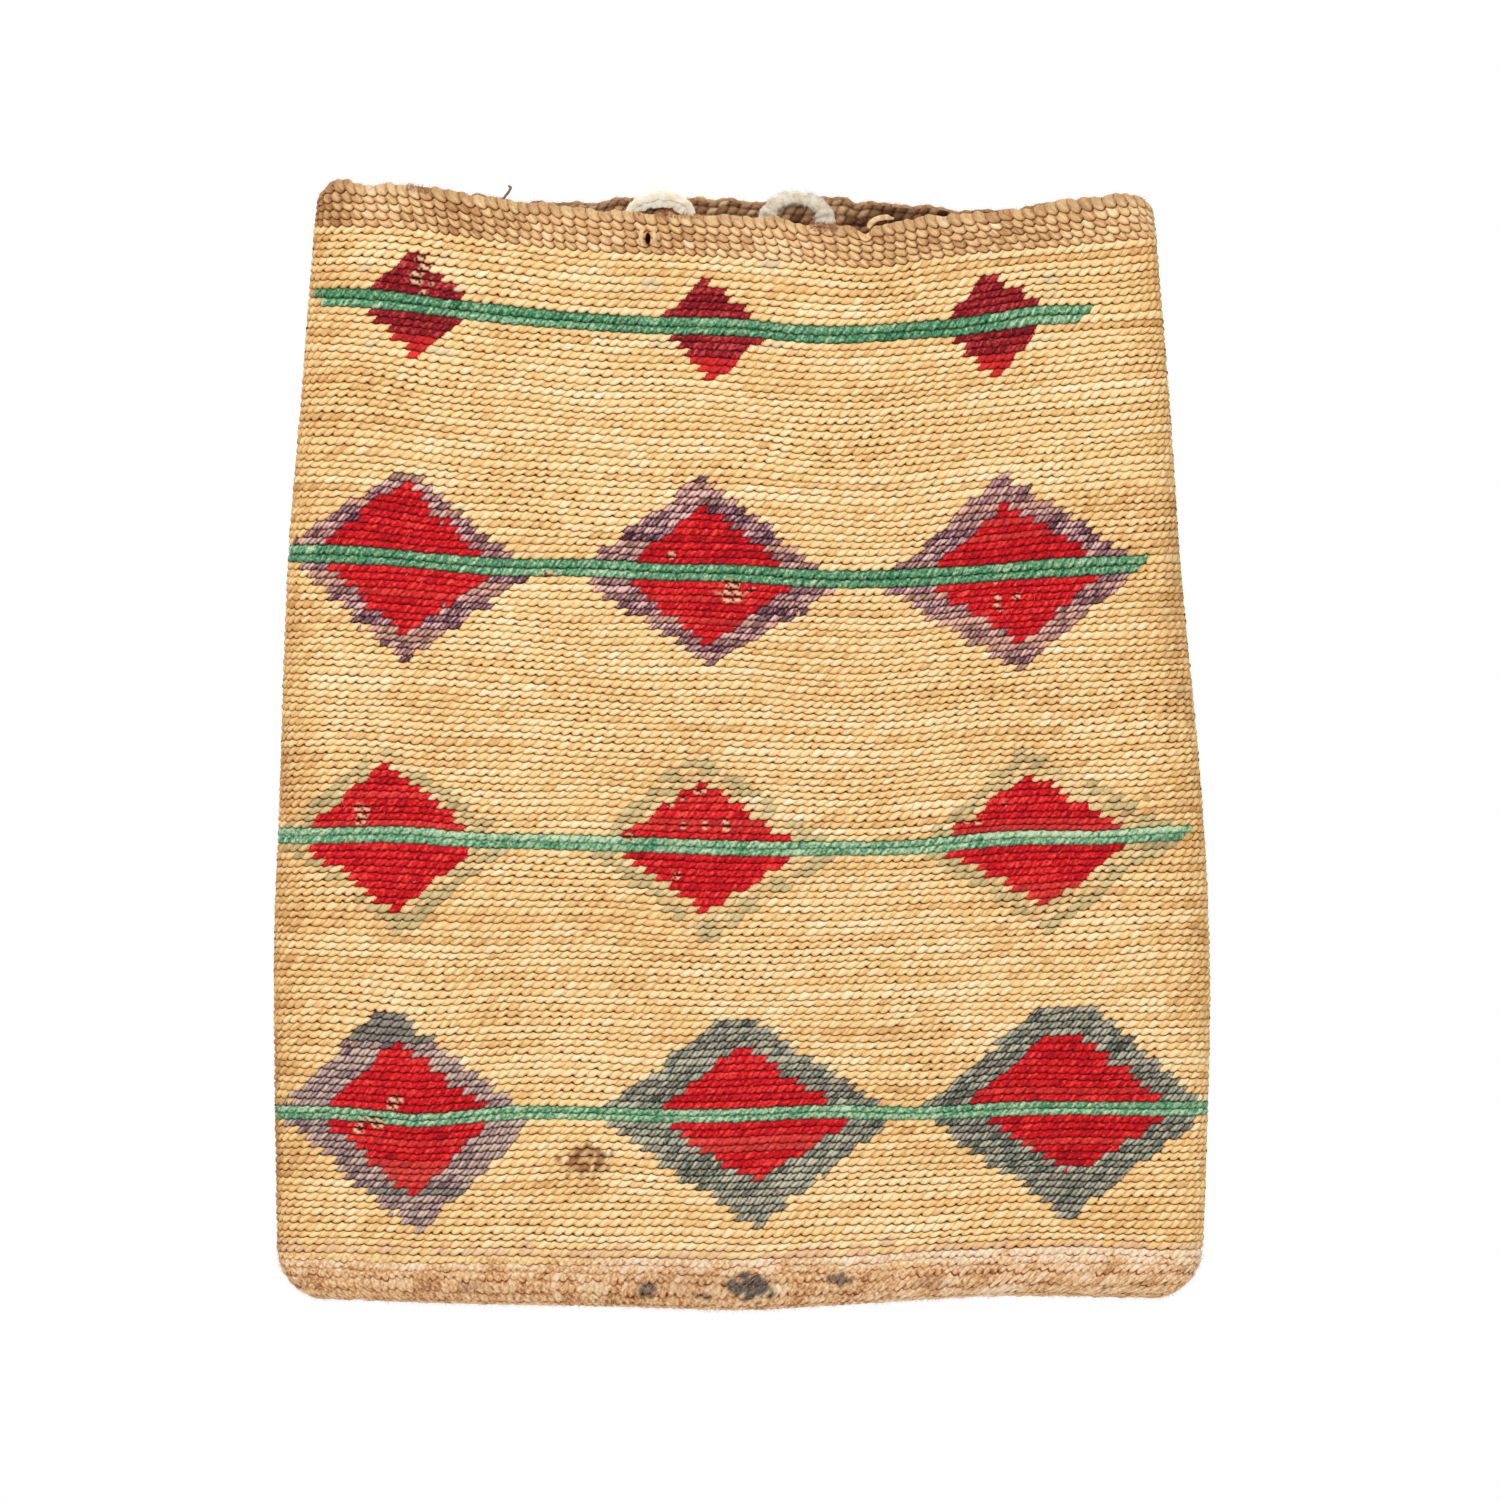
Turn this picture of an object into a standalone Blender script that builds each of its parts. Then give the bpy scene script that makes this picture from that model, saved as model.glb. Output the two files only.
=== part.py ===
"""Flat twined corn husk bag, false-embroidered on its front and hung by two hide loops.

Metres, +Z up, front facing -Y. The origin is midway between the crowns of the two loops, in the
plane in which they stand. Heights in the weave are measured straight up from the bottom fold,
before the dip of the rim and the sag of the bottom bend the courses.
"""

import math

import bmesh
import bpy
from mathutils import Vector

# Bag outline
BAG_HEIGHT = 0.3027
BELLY_HALF_WIDTH = 0.1268
CORNER_RISE = 0.0024
BAG_SHIFT = 0.0033
RIM_DIP = 0.0112
BOTTOM_SAG = 0.0038
BOTTOM_CORNER_RADIUS = 0.012
TOP_CORNER_RADIUS = 0.004

# Bag depth, from the plane of the side folds to the shell's outer face
FRONT_MOUTH_DEPTH = 0.0060
FRONT_BELLY_DEPTH = 0.0088
FRONT_FOOT_DEPTH = 0.0050
BACK_DEPTH = 0.0048
BELLY_HEIGHT = 0.120
SIDE_FOLD_REACH = 0.010
BOTTOM_FOLD_HEIGHT = 0.007
CROWN_SHARE = 0.35

# Layers
SHELL_WALL = 0.0014
OVERLAY = 0.0009
FIT_GAP = 0.0003

# Weave, with the middle of each green stripe as a share of the height
COURSE = 0.0020
RIM_BAND_HEIGHT = 0.0117
BOTTOM_BAND_HEIGHT = 0.0131
STRIPE_HEIGHT = 0.0052
STRIPE_SHARES = (0.896, 0.666, 0.413, 0.1725)
STRIPE_END_SHARES = (0.81, 0.88, 0.93, 1.0)

# Diamonds: half widths, how far the border stands out beyond the centre, and courses of the
# centre and of the border above and below the stripe
SMALL_HALF_WIDTH = 0.0126
CENTRE_HALF_WIDTH = 0.0222
BORDER_REACH = 0.0103
CENTRE_COURSES = (6, 8, 9, 9)
BORDER_COURSES_UP = (0, 4, 3, 4)
BORDER_COURSES_DOWN = (0, 4, 3, 5)
COURSES_PER_STEP = 2
TIP_SHARE = 0.3
DIAMOND_CENTRE_SHARES = (
    (-0.75, -0.07, 0.61),
    (-0.74, -0.075, 0.62),
    (-0.755, -0.07, 0.65),
    (-0.72, 0.024, 0.70),
)

# Hide loops and the ties that hold them
LOOP_SPACING = 0.037
LOOP_HEIGHT = 0.010
LOOP_WIDTHS = (0.0174, 0.0196)
THONG_WIDTH = 0.0036
THONG_THICKNESS = 0.0012
TIE_WIDTH = 0.0030
KNOT_RADIUS = 0.0026
KNOT_DEPTH = 0.0034
TAIL_LENGTH = 0.013
TAIL_SPREAD = math.radians(14)
THONG_EDGE_SHARE = 0.4
THONG_EDGE_ANGLE = math.radians(50)

# Outline curves: place across the bag from fold to fold, and share of the dip or the sag
FRONT_RIM_SHARES = (
    (-1.0, 0.03), (-0.8, 0.10), (-0.5, 0.52), (-0.2, 0.68), (0.06, 0.80),
    (0.3, 1.0), (0.5, 0.79), (0.75, 0.60), (1.0, 0.30),
)
BACK_RIM_SHARES = (
    (-1.0, 0.03), (-0.8, 0.10), (-0.5, 0.47), (-0.2, 0.40), (0.06, 0.42),
    (0.3, 0.50), (0.5, 0.70), (0.75, 0.58), (1.0, 0.30),
)
BOTTOM_SHARES = (
    (-1.0, 0.15), (-0.7, 0.50), (-0.3, 0.72), (0.0, 1.0), (0.25, 0.60), (0.6, 0.0), (1.0, 0.10),
)

# Side edges: share of the height, and half width there as a share of the belly's
LEFT_EDGE_SHARES = ((0.0, 0.992), (0.3, 1.0), (0.45, 0.988), (0.66, 0.970), (0.8, 0.943), (1.0, 0.906))
RIGHT_EDGE_SHARES = ((0.0, 0.990), (0.28, 1.008), (0.45, 0.990), (0.66, 0.945), (0.8, 0.923), (1.0, 0.885))

# How fast the rim's dip and the bottom's sag fade down and up the courses
DIP_POWER = 1.8
SAG_POWER = 5

# Mesh: spans of the surfaces
FOLD_SHARE = 0.12
FLAT_SPANS = 12
FOLD_SPANS = 4
BOTTOM_SPANS = 3
BODY_SPANS = 12
ARC_SPANS = 10
BEVEL_SEGMENTS = 2
KNOT_RINGS = 6
OVERRUN = 0.002
MERGE_DISTANCE = 0.000003
WAVE_SPAN = 0.014

SIDE_NAMES = ("left", "middle", "right")
WEAVE_TOP = BAG_HEIGHT - RIM_BAND_HEIGHT
BASE_Z = CORNER_RISE - BAG_HEIGHT
HINGE_Z = -LOOP_HEIGHT
INNER_BACK_Y = THONG_THICKNESS / 2 + FIT_GAP
FOLD_Y = INNER_BACK_Y + SHELL_WALL - BACK_DEPTH
BACK_FACE_Y = INNER_BACK_Y + SHELL_WALL + FIT_GAP + OVERLAY
DEPTH_ROOM = FRONT_BELLY_DEPTH + BACK_DEPTH + OVERRUN

# Colour and roughness of each stuff
HEMP = ((0.29, 0.17, 0.08), 0.9)
HUSK = ((0.75, 0.47, 0.20), 0.7)
TWINED_RIM = ((0.62, 0.38, 0.16), 0.75)
TWINED_FOOT = ((0.55, 0.35, 0.20), 0.9)
GREEN_WOOL = ((0.05, 0.31, 0.16), 0.95)
MAROON_WOOL = ((0.22, 0.010, 0.028), 0.95)
RED_WOOL = ((0.60, 0.013, 0.022), 0.95)
BORDER_WOOLS = (None, ((0.22, 0.13, 0.15), 0.95), ((0.51, 0.45, 0.19), 0.95), ((0.17, 0.17, 0.14), 0.95))
HIDE = ((0.83, 0.79, 0.70), 0.85)


def clear_scene():
    """Remove every object that the file starts with."""
    for item in list(bpy.data.objects):
        bpy.data.objects.remove(item, do_unlink=True)


def new_collection(name):
    """Collection linked to the scene."""
    made = bpy.data.collections.new(name)
    bpy.context.scene.collection.children.link(made)
    return made


clear_scene()
PARTS = new_collection("corn_husk_bag")
CUTTERS = new_collection("corn_husk_bag_cutters")


def finish_with(item, stuff):
    """Give an object a material of its own."""
    colour, roughness = stuff
    made = bpy.data.materials.new(item.name)
    made.use_nodes = True
    shader = made.node_tree.nodes["Principled BSDF"]
    shader.inputs["Base Color"].default_value = (*colour, 1.0)
    shader.inputs["Roughness"].default_value = roughness
    shader.inputs["Metallic"].default_value = 0.0
    item.data.materials.append(made)


def object_from(bm, name, collection):
    """Object that takes over a finished bmesh."""
    mesh = bpy.data.meshes.new(name)
    bm.to_mesh(mesh)
    bm.free()
    item = bpy.data.objects.new(name, mesh)
    collection.objects.link(item)
    if collection is CUTTERS:
        item.hide_render = True
        item.display_type = "WIRE"
    return item


def along(table, place):
    """Smooth curve through the table's points, read at one place."""
    last = len(table) - 1
    index = 0
    while index < last - 1 and place > table[index + 1][0]:
        index += 1
    (x0, y0), (x1, y1) = table[index], table[index + 1]
    before = table[max(index - 1, 0)]
    after = table[min(index + 2, last)]
    slope_in = (y1 - before[1]) / (x1 - before[0])
    slope_out = (after[1] - y0) / (after[0] - x0)
    span = x1 - x0
    t = min(max((place - x0) / span, 0.0), 1.0)
    blend = t * t * (3 - 2 * t)
    lean_in = t * (1 - t) ** 2 * span * slope_in
    lean_out = t * t * (t - 1) * span * slope_out
    return y0 + (y1 - y0) * blend + lean_in + lean_out


def ease(share):
    """Smooth step from 0 to 1."""
    t = min(max(share, 0.0), 1.0)
    return t * t * (3 - 2 * t)


def quarter_round(distance, radius):
    """Share of full reach at a distance from the edge of a quarter-round."""
    left = max(0.0, 1 - distance / radius)
    return math.sqrt(1 - left * left)


def half_width(height, side, lift=0.0):
    """Half width of the bag at a height, on its left (-1) or right (1) side."""
    table = LEFT_EDGE_SHARES if side < 0 else RIGHT_EDGE_SHARES
    full = BELLY_HALF_WIDTH * along(table, height / BAG_HEIGHT)
    inner = full - BOTTOM_CORNER_RADIUS
    return inner + (BOTTOM_CORNER_RADIUS + lift) * quarter_round(height, BOTTOM_CORNER_RADIUS)


def front_depth(height, place):
    """Depth of the front wall in front of the side folds."""
    if height < BELLY_HEIGHT:
        swell = ease(height / BELLY_HEIGHT)
        depth = FRONT_FOOT_DEPTH + (FRONT_BELLY_DEPTH - FRONT_FOOT_DEPTH) * swell
    else:
        swell = ease((height - BELLY_HEIGHT) / (BAG_HEIGHT - BELLY_HEIGHT))
        depth = FRONT_BELLY_DEPTH + (FRONT_MOUTH_DEPTH - FRONT_BELLY_DEPTH) * swell
    return depth * (1 - CROWN_SHARE * place * place)


def hang(height, place, edge_distance, front=True):
    """World height of a course line at a place across the bag."""
    share = height / BAG_HEIGHT
    rim = FRONT_RIM_SHARES if front else BACK_RIM_SHARES
    dip = RIM_DIP * along(rim, place) * share ** DIP_POWER
    sag = BOTTOM_SAG * along(BOTTOM_SHARES, place) * (1 - share) ** SAG_POWER
    near_rim = max(0.0, 1 - (BAG_HEIGHT - height) / RIM_BAND_HEIGHT)
    corner = TOP_CORNER_RADIUS * (1 - quarter_round(edge_distance, TOP_CORNER_RADIUS)) * near_rim
    return BASE_Z + height - dip - sag - corner


def bag_point(across, height, front, lift):
    """Point of a layer: across runs from fold to fold, -1 to 1, and lift is out of the shell."""
    side = -1 if across < 0 else 1
    flat = 1 - FOLD_SHARE
    turn = max(0.0, abs(across) - flat) / FOLD_SHARE * math.pi / 2
    half = half_width(height, side, lift)
    reach = SIDE_FOLD_REACH + lift
    x = min(abs(across), flat) / flat * (half - reach) + reach * math.sin(turn)
    place = side * min(x / half, 1.0)
    rise = max(0.0, 1 - height / BOTTOM_FOLD_HEIGHT)
    depth = front_depth(height, place) if front else BACK_DEPTH
    depth = (depth + lift) * math.cos(turn) * math.sqrt(1 - rise * rise)
    y = FOLD_Y - depth if front else FOLD_Y + depth
    z = hang(height, place, half - x, front) - lift * rise
    return Vector((BAG_SHIFT + side * x, y, z))


def spread(low, high, spans):
    """Evenly spaced values from low to high."""
    return [low + (high - low) * index / spans for index in range(spans + 1)]


def fold_columns():
    """Columns from fold to fold, closer where the sides turn."""
    flat = 1 - FOLD_SHARE
    middle = spread(-flat, flat, FLAT_SPANS)
    right = spread(flat, 1.0, FOLD_SPANS)[1:]
    return [-value for value in reversed(right)] + middle + right


def panel_columns(low=-1.0, high=1.0):
    """Columns of a one-sided panel, which stops a half gap short of each side fold."""
    edge = 1 - FOLD_SHARE * FIT_GAP / (math.pi * BACK_DEPTH)
    low = max(low, -edge)
    high = min(high, edge)
    inside = [value for value in fold_columns() if low < value < high]
    return [low] + inside + [high]


def foot_rows():
    """Heights of the rows round the bottom fold."""
    turns = spread(0.0, math.pi / 2, BOTTOM_SPANS)
    return [BOTTOM_FOLD_HEIGHT * (1 - math.cos(turn)) for turn in turns]


def body_rows(low, high):
    """Heights from low to high at about the spacing of the whole body."""
    spans = max(1, round((high - low) / (BAG_HEIGHT / BODY_SPANS)))
    return spread(low, high, spans)


def add_face(bm, columns, rows, front, lift, skip=None):
    """Add one side of the bag as a grid that faces out, but for the cells that skip names."""
    corners = [[bm.verts.new(bag_point(q, h, front, lift)) for q in columns] for h in rows]
    for row in range(len(rows) - 1):
        for column in range(len(columns) - 1):
            if skip and skip(columns[column], rows[row]):
                continue
            ring = [
                corners[row][column],
                corners[row][column + 1],
                corners[row + 1][column + 1],
                corners[row + 1][column],
            ]
            bm.faces.new(ring if front else reversed(ring))
    loose = [vertex for vertex in bm.verts if not vertex.link_faces]
    bmesh.ops.delete(bm, geom=loose, context="VERTS")


def solid_layer(bm, name, thickness, outward, stuff):
    """Object whose surface is thickened into a wall."""
    item = object_from(bm, name, PARTS)
    wall = item.modifiers.new("wall", "SOLIDIFY")
    wall.thickness = thickness
    wall.offset = 1.0 if outward else -1.0
    item.data.shade_smooth()
    finish_with(item, stuff)
    return item


def wrap(name, rows, lift, thickness, outward, stuff):
    """Layer that goes all round the bag, closed where its lowest row is the bottom fold."""
    bm = bmesh.new()
    add_face(bm, fold_columns(), rows, True, lift)
    add_face(bm, fold_columns(), rows, False, lift)
    bmesh.ops.remove_doubles(bm, verts=bm.verts, dist=MERGE_DISTANCE)
    return solid_layer(bm, name, thickness, outward, stuff)


def panel(name, columns, rows, front, stuff, skip=None):
    """Overlay on one side of the bag, a gap out from the shell."""
    bm = bmesh.new()
    add_face(bm, columns, rows, front, FIT_GAP, skip)
    return solid_layer(bm, name, OVERLAY, True, stuff)


def prism(name, outline, low_y, high_y, collection):
    """Solid between two planes square to Y, from an outline in X and Z."""
    bm = bmesh.new()
    face = bm.faces.new([bm.verts.new((x, low_y, z)) for x, z in outline])
    grown = bmesh.ops.extrude_face_region(bm, geom=[face])
    moved = [part for part in grown["geom"] if isinstance(part, bmesh.types.BMVert)]
    bmesh.ops.translate(bm, verts=moved, vec=(0, high_y - low_y, 0))
    bmesh.ops.recalc_face_normals(bm, faces=bm.faces)
    return object_from(bm, name, collection)


def combine(item, tool, operation):
    """Cut an object with a tool, keep what both share, or join them."""
    cut = item.modifiers.new(tool.name, "BOOLEAN")
    cut.operation = operation
    cut.solver = "EXACT"
    cut.object = tool


def shell():
    """Twined hemp body, open at the mouth and folded shut at the bottom."""
    foot = foot_rows()
    rows = foot[:-1] + body_rows(foot[-1], BOTTOM_BAND_HEIGHT)[:-1]
    rows += body_rows(BOTTOM_BAND_HEIGHT, BAG_HEIGHT)
    return wrap("twined_shell", rows, 0.0, SHELL_WALL, False, HEMP)


def rim_band():
    """Plain twined courses round the mouth."""
    rows = [WEAVE_TOP + FIT_GAP / 2, BAG_HEIGHT]
    return wrap("rim_band", rows, FIT_GAP, OVERLAY, True, TWINED_RIM)


def bottom_band():
    """Plain twined courses round the bottom fold, where the weaving began."""
    rows = foot_rows() + [BOTTOM_BAND_HEIGHT - FIT_GAP / 2]
    return wrap("bottom_band", rows, FIT_GAP, OVERLAY, True, TWINED_FOOT)


def back_husk():
    """Husk overlay of the back."""
    rows = body_rows(BOTTOM_BAND_HEIGHT + FIT_GAP / 2, WEAVE_TOP - FIT_GAP / 2)
    return panel("husk_back", panel_columns(), rows, False, HUSK)


def stripe_edges(row):
    """Lower and upper course line of a green stripe."""
    centre = STRIPE_SHARES[row] * BAG_HEIGHT
    return centre - STRIPE_HEIGHT / 2, centre + STRIPE_HEIGHT / 2


def green_stripe(row):
    """Two wool courses from the left fold to the stripe's end."""
    low, high = stripe_edges(row)
    heights = [low + FIT_GAP / 2, high - FIT_GAP / 2]
    columns = panel_columns(high=STRIPE_END_SHARES[row])
    return panel(f"green_stripe_{row + 1}", columns, heights, True, GREEN_WOOL)


def front_husk(zone):
    """Husk field between two stripes. It fills the course beyond the upper stripe's end."""
    names = ("top", "upper", "middle", "lower", "bottom")
    top = WEAVE_TOP if zone == 0 else stripe_edges(zone - 1)[0]
    foot = BOTTOM_BAND_HEIGHT if zone == len(STRIPE_SHARES) else stripe_edges(zone)[1]
    rows = body_rows(foot + FIT_GAP / 2, top - FIT_GAP / 2)
    columns = panel_columns()
    skip = None
    if zone > 0 and STRIPE_END_SHARES[zone - 1] < 1:
        end = STRIPE_END_SHARES[zone - 1] + FOLD_SHARE * FIT_GAP / SIDE_FOLD_REACH
        rows.append(stripe_edges(zone - 1)[1] - FIT_GAP / 2)
        columns = sorted(columns + [end])
        edge_row = rows[-2]

        def skip(column, row):
            """Cells that the stripe takes up."""
            return row == edge_row and column < end

    return panel(f"husk_field_{names[zone]}", columns, rows, True, HUSK, skip)


def stepped_side(width, courses, grow, base):
    """Right side of a half diamond, from its base line up to its tip, as (out, up) points."""
    steps = math.ceil(courses / COURSES_PER_STEP)
    points = []
    for step in range(steps):
        out = width * (1 - (step + TIP_SHARE) / steps) + grow
        low = step * COURSES_PER_STEP * COURSE + grow if step else base
        top = min((step + 1) * COURSES_PER_STEP, courses) * COURSE + grow
        points += [(out, low), (out, top)]
    return points


def mirrored(points):
    """The other side, run the other way."""
    return [(-out, up) for out, up in reversed(points)]


def waved(points):
    """Outline with its long edges divided, so that they can follow the bent courses."""
    made = []
    for (x0, z0), (x1, z1) in zip(points, points[1:] + points[:1]):
        pieces = max(1, math.ceil(abs(x1 - x0) / WAVE_SPAN))
        made += [(x0 + (x1 - x0) * k / pieces, z0 + (z1 - z0) * k / pieces) for k in range(pieces)]
    return made


def diamond_centre(row, column):
    """Middle of a diamond across the bag, from the bag's centre line."""
    share = DIAMOND_CENTRE_SHARES[row][column]
    side = -1 if share < 0 else 1
    return share * half_width(STRIPE_SHARES[row] * BAG_HEIGHT, side)


def placed(points, row, column, up):
    """World outline of a half diamond that stands on, or hangs from, its stripe."""
    centre = diamond_centre(row, column)
    low, high = stripe_edges(row)
    made = []
    for out, rise in waved(points):
        height = high + rise if up else low - rise
        x = centre + out
        side = -1 if x < 0 else 1
        half = half_width(height, side)
        inside = min(abs(x), half)
        made.append((BAG_SHIFT + x, hang(height, side * inside / half, half - inside)))
    return made


def patch(name, row, column, up, width, courses, stuff):
    """Piece of the front overlay that covers a half diamond and a little more."""
    centre = diamond_centre(row, column)
    low, high = stripe_edges(row)
    near = high - OVERRUN if up else low + OVERRUN
    far = high + courses * COURSE + OVERRUN if up else low - courses * COURSE - OVERRUN
    ends = []
    for x in (centre - width - OVERRUN, centre + width + OVERRUN):
        flat_half = half_width((near + far) / 2, -1 if x < 0 else 1) - SIDE_FOLD_REACH
        ends.append(x / flat_half * (1 - FOLD_SHARE))
    columns = panel_columns(ends[0], ends[1])
    rows = body_rows(min(near, far), max(near, far))
    return panel(name, columns, rows, True, stuff)


def cut_from(item, outline):
    """Leave only what lies inside an outline."""
    tool = prism(f"{item.name}_outline", outline, FOLD_Y - DEPTH_ROOM, FOLD_Y, CUTTERS)
    combine(item, tool, "INTERSECT")


def half_diamond(row, column, up):
    """Red centre above or below the stripe, with its border where the row has one."""
    end = "upper" if up else "lower"
    label = f"row{row + 1}_{SIDE_NAMES[column]}_{end}"
    centre_courses = CENTRE_COURSES[row]
    border_courses = (BORDER_COURSES_UP if up else BORDER_COURSES_DOWN)[row]
    width = CENTRE_HALF_WIDTH if border_courses else SMALL_HALF_WIDTH
    gap = FIT_GAP / 2
    stuff = MAROON_WOOL if row == 0 and up else RED_WOOL
    red = patch(f"diamond_{label}", row, column, up, width, centre_courses, stuff)
    side = stepped_side(width, centre_courses, -gap, gap)
    cut_from(red, placed(side + mirrored(side), row, column, up))
    if not border_courses:
        return width, centre_courses
    courses = centre_courses + border_courses
    outer_width = width + BORDER_REACH
    border = patch(f"border_{label}", row, column, up, outer_width, courses, BORDER_WOOLS[row])
    outer = stepped_side(outer_width, courses, -gap, gap)
    inner = stepped_side(width, centre_courses, gap, gap)
    ring = outer + mirrored(outer) + [(-out, rise) for out, rise in inner] + inner[::-1]
    cut_from(border, placed(ring, row, column, up))
    return outer_width, courses


def notch(field, row, column, up, width, courses):
    """Cut the room of a half diamond out of a husk field."""
    side = stepped_side(width, courses, FIT_GAP / 2, -OVERRUN)
    outline = placed(side + mirrored(side), row, column, up)
    label = f"notch_row{row + 1}_{SIDE_NAMES[column]}_{'upper' if up else 'lower'}"
    tool = prism(label, outline, FOLD_Y - DEPTH_ROOM, FOLD_Y, CUTTERS)
    combine(field, tool, "DIFFERENCE")


def front_pattern():
    """Husk fields, stripes and diamonds of the front."""
    fields = [front_husk(zone) for zone in range(len(STRIPE_SHARES) + 1)]
    for row in range(len(STRIPE_SHARES)):
        green_stripe(row)
        for column in range(len(SIDE_NAMES)):
            for up in (True, False):
                width, courses = half_diamond(row, column, up)
                notch(fields[row if up else row + 1], row, column, up, width, courses)


def loop_centre(index):
    """Middle of a loop, left or right of the origin."""
    return LOOP_SPACING * (index - 0.5)


def leg_offset(index):
    """Distance from a loop's middle to the middle of each leg."""
    return (LOOP_WIDTHS[index] - THONG_WIDTH) / 2


def arc(radius, centre_z):
    """Half circle from +X over the top to -X."""
    turns = spread(0.0, math.pi, ARC_SPANS)
    return [(radius * math.cos(turn), centre_z + radius * math.sin(turn)) for turn in turns]


def thong_loop(index):
    """Arched hide strap. Its origin is on the axis through its two feet."""
    outer = LOOP_WIDTHS[index] / 2
    inner = outer - THONG_WIDTH
    foot = -THONG_THICKNESS / 2
    spring = LOOP_HEIGHT - outer
    outline = [(outer, foot)] + arc(outer, spring) + [(-outer, foot), (-inner, foot)]
    outline += arc(inner, spring)[::-1] + [(inner, foot)]
    half = THONG_THICKNESS / 2
    item = prism(f"thong_loop_{SIDE_NAMES[index * 2]}", outline, -half, half, PARTS)
    item.location = (loop_centre(index), 0, HINGE_Z)
    soften(item)
    finish_with(item, HIDE)
    return item


def soften(item):
    """Round the cut edges of a hide strap."""
    edge = item.modifiers.new("soft_edge", "BEVEL")
    edge.width = THONG_THICKNESS * THONG_EDGE_SHARE
    edge.segments = BEVEL_SEGMENTS
    edge.limit_method = "ANGLE"
    edge.angle_limit = THONG_EDGE_ANGLE
    item.data.shade_smooth()


def block(name, low, high, collection):
    """Box between two corners, with its size in its mesh."""
    bm = bmesh.new()
    bmesh.ops.create_cube(bm, size=1)
    size = Vector(high) - Vector(low)
    bmesh.ops.scale(bm, vec=size, verts=bm.verts)
    bmesh.ops.translate(bm, vec=(Vector(low) + Vector(high)) / 2, verts=bm.verts)
    return object_from(bm, name, collection)


def knot(name, centre):
    """Overhand knot, drawn up into a lump that is wider than it is deep."""
    bm = bmesh.new()
    bmesh.ops.create_uvsphere(bm, u_segments=KNOT_RINGS * 2, v_segments=KNOT_RINGS, radius=KNOT_RADIUS)
    bmesh.ops.scale(bm, vec=(1, KNOT_DEPTH / KNOT_RADIUS / 2, 1), verts=bm.verts)
    bmesh.ops.translate(bm, vec=centre, verts=bm.verts)
    return object_from(bm, name, CUTTERS)


def tail(name, top, lean):
    """Loose end of the thong below the knot, turned a little outward."""
    half = TIE_WIDTH / 2
    thick = THONG_THICKNESS / 2
    item = block(name, (-half, -thick, -TAIL_LENGTH), (half, thick, 0), CUTTERS)
    item.location = top
    item.rotation_euler = (0, lean, 0)
    return item


def thong_tie(index):
    """Strap through two slots of the back wall, knotted behind, with its two ends hanging."""
    centre = loop_centre(index)
    legs = [centre - leg_offset(index), centre + leg_offset(index)]
    half = THONG_THICKNESS / 2
    low_z = HINGE_Z - TIE_WIDTH / 2
    high_z = HINGE_Z + TIE_WIDTH / 2
    bar_y = BACK_FACE_Y + FIT_GAP
    name = f"thong_tie_{SIDE_NAMES[index * 2]}"
    bar_low = (legs[0] - half, bar_y, low_z)
    bar_high = (legs[1] + half, bar_y + THONG_THICKNESS, high_z)
    item = block(name, bar_low, bar_high, PARTS)
    for number, x in enumerate(legs):
        corner = (x + half, bar_y + half, high_z)
        leg = block(f"{name}_leg_{number}", (x - half, INNER_BACK_Y, low_z), corner, CUTTERS)
        combine(item, leg, "UNION")
    lump = knot(f"{name}_knot", (centre, bar_y + KNOT_DEPTH / 2, HINGE_Z))
    combine(item, lump, "UNION")
    for number, turn in enumerate((-TAIL_SPREAD, TAIL_SPREAD)):
        top = (centre, bar_y + half + number * half, HINGE_Z)
        combine(item, tail(f"{name}_tail_{number}", top, turn), "UNION")
    finish_with(item, HIDE)
    return item


def thong_slots(pieces):
    """Upright slots through the back wall for the ties."""
    half_x = THONG_THICKNESS / 2 + FIT_GAP
    half_z = TIE_WIDTH / 2 + FIT_GAP
    for index in range(len(LOOP_WIDTHS)):
        for side in (-1, 1):
            x = loop_centre(index) + side * leg_offset(index)
            low = (x - half_x, INNER_BACK_Y - OVERRUN, HINGE_Z - half_z)
            high = (x + half_x, BACK_FACE_Y + OVERRUN, HINGE_Z + half_z)
            tool = block(f"slot_{index}_{side + 1}", low, high, CUTTERS)
            for piece in pieces:
                combine(piece, tool, "DIFFERENCE")


def build():
    """Model every piece of the bag."""
    body = shell()
    rim = rim_band()
    bottom_band()
    back_husk()
    front_pattern()
    thong_slots([body, rim])
    for index in range(len(LOOP_WIDTHS)):
        thong_loop(index)
        thong_tie(index)


build()
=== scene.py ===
"""Looks of the flat twined corn husk bag: woven surfaces, wool pattern, hide loops, light and camera."""

import math

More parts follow.
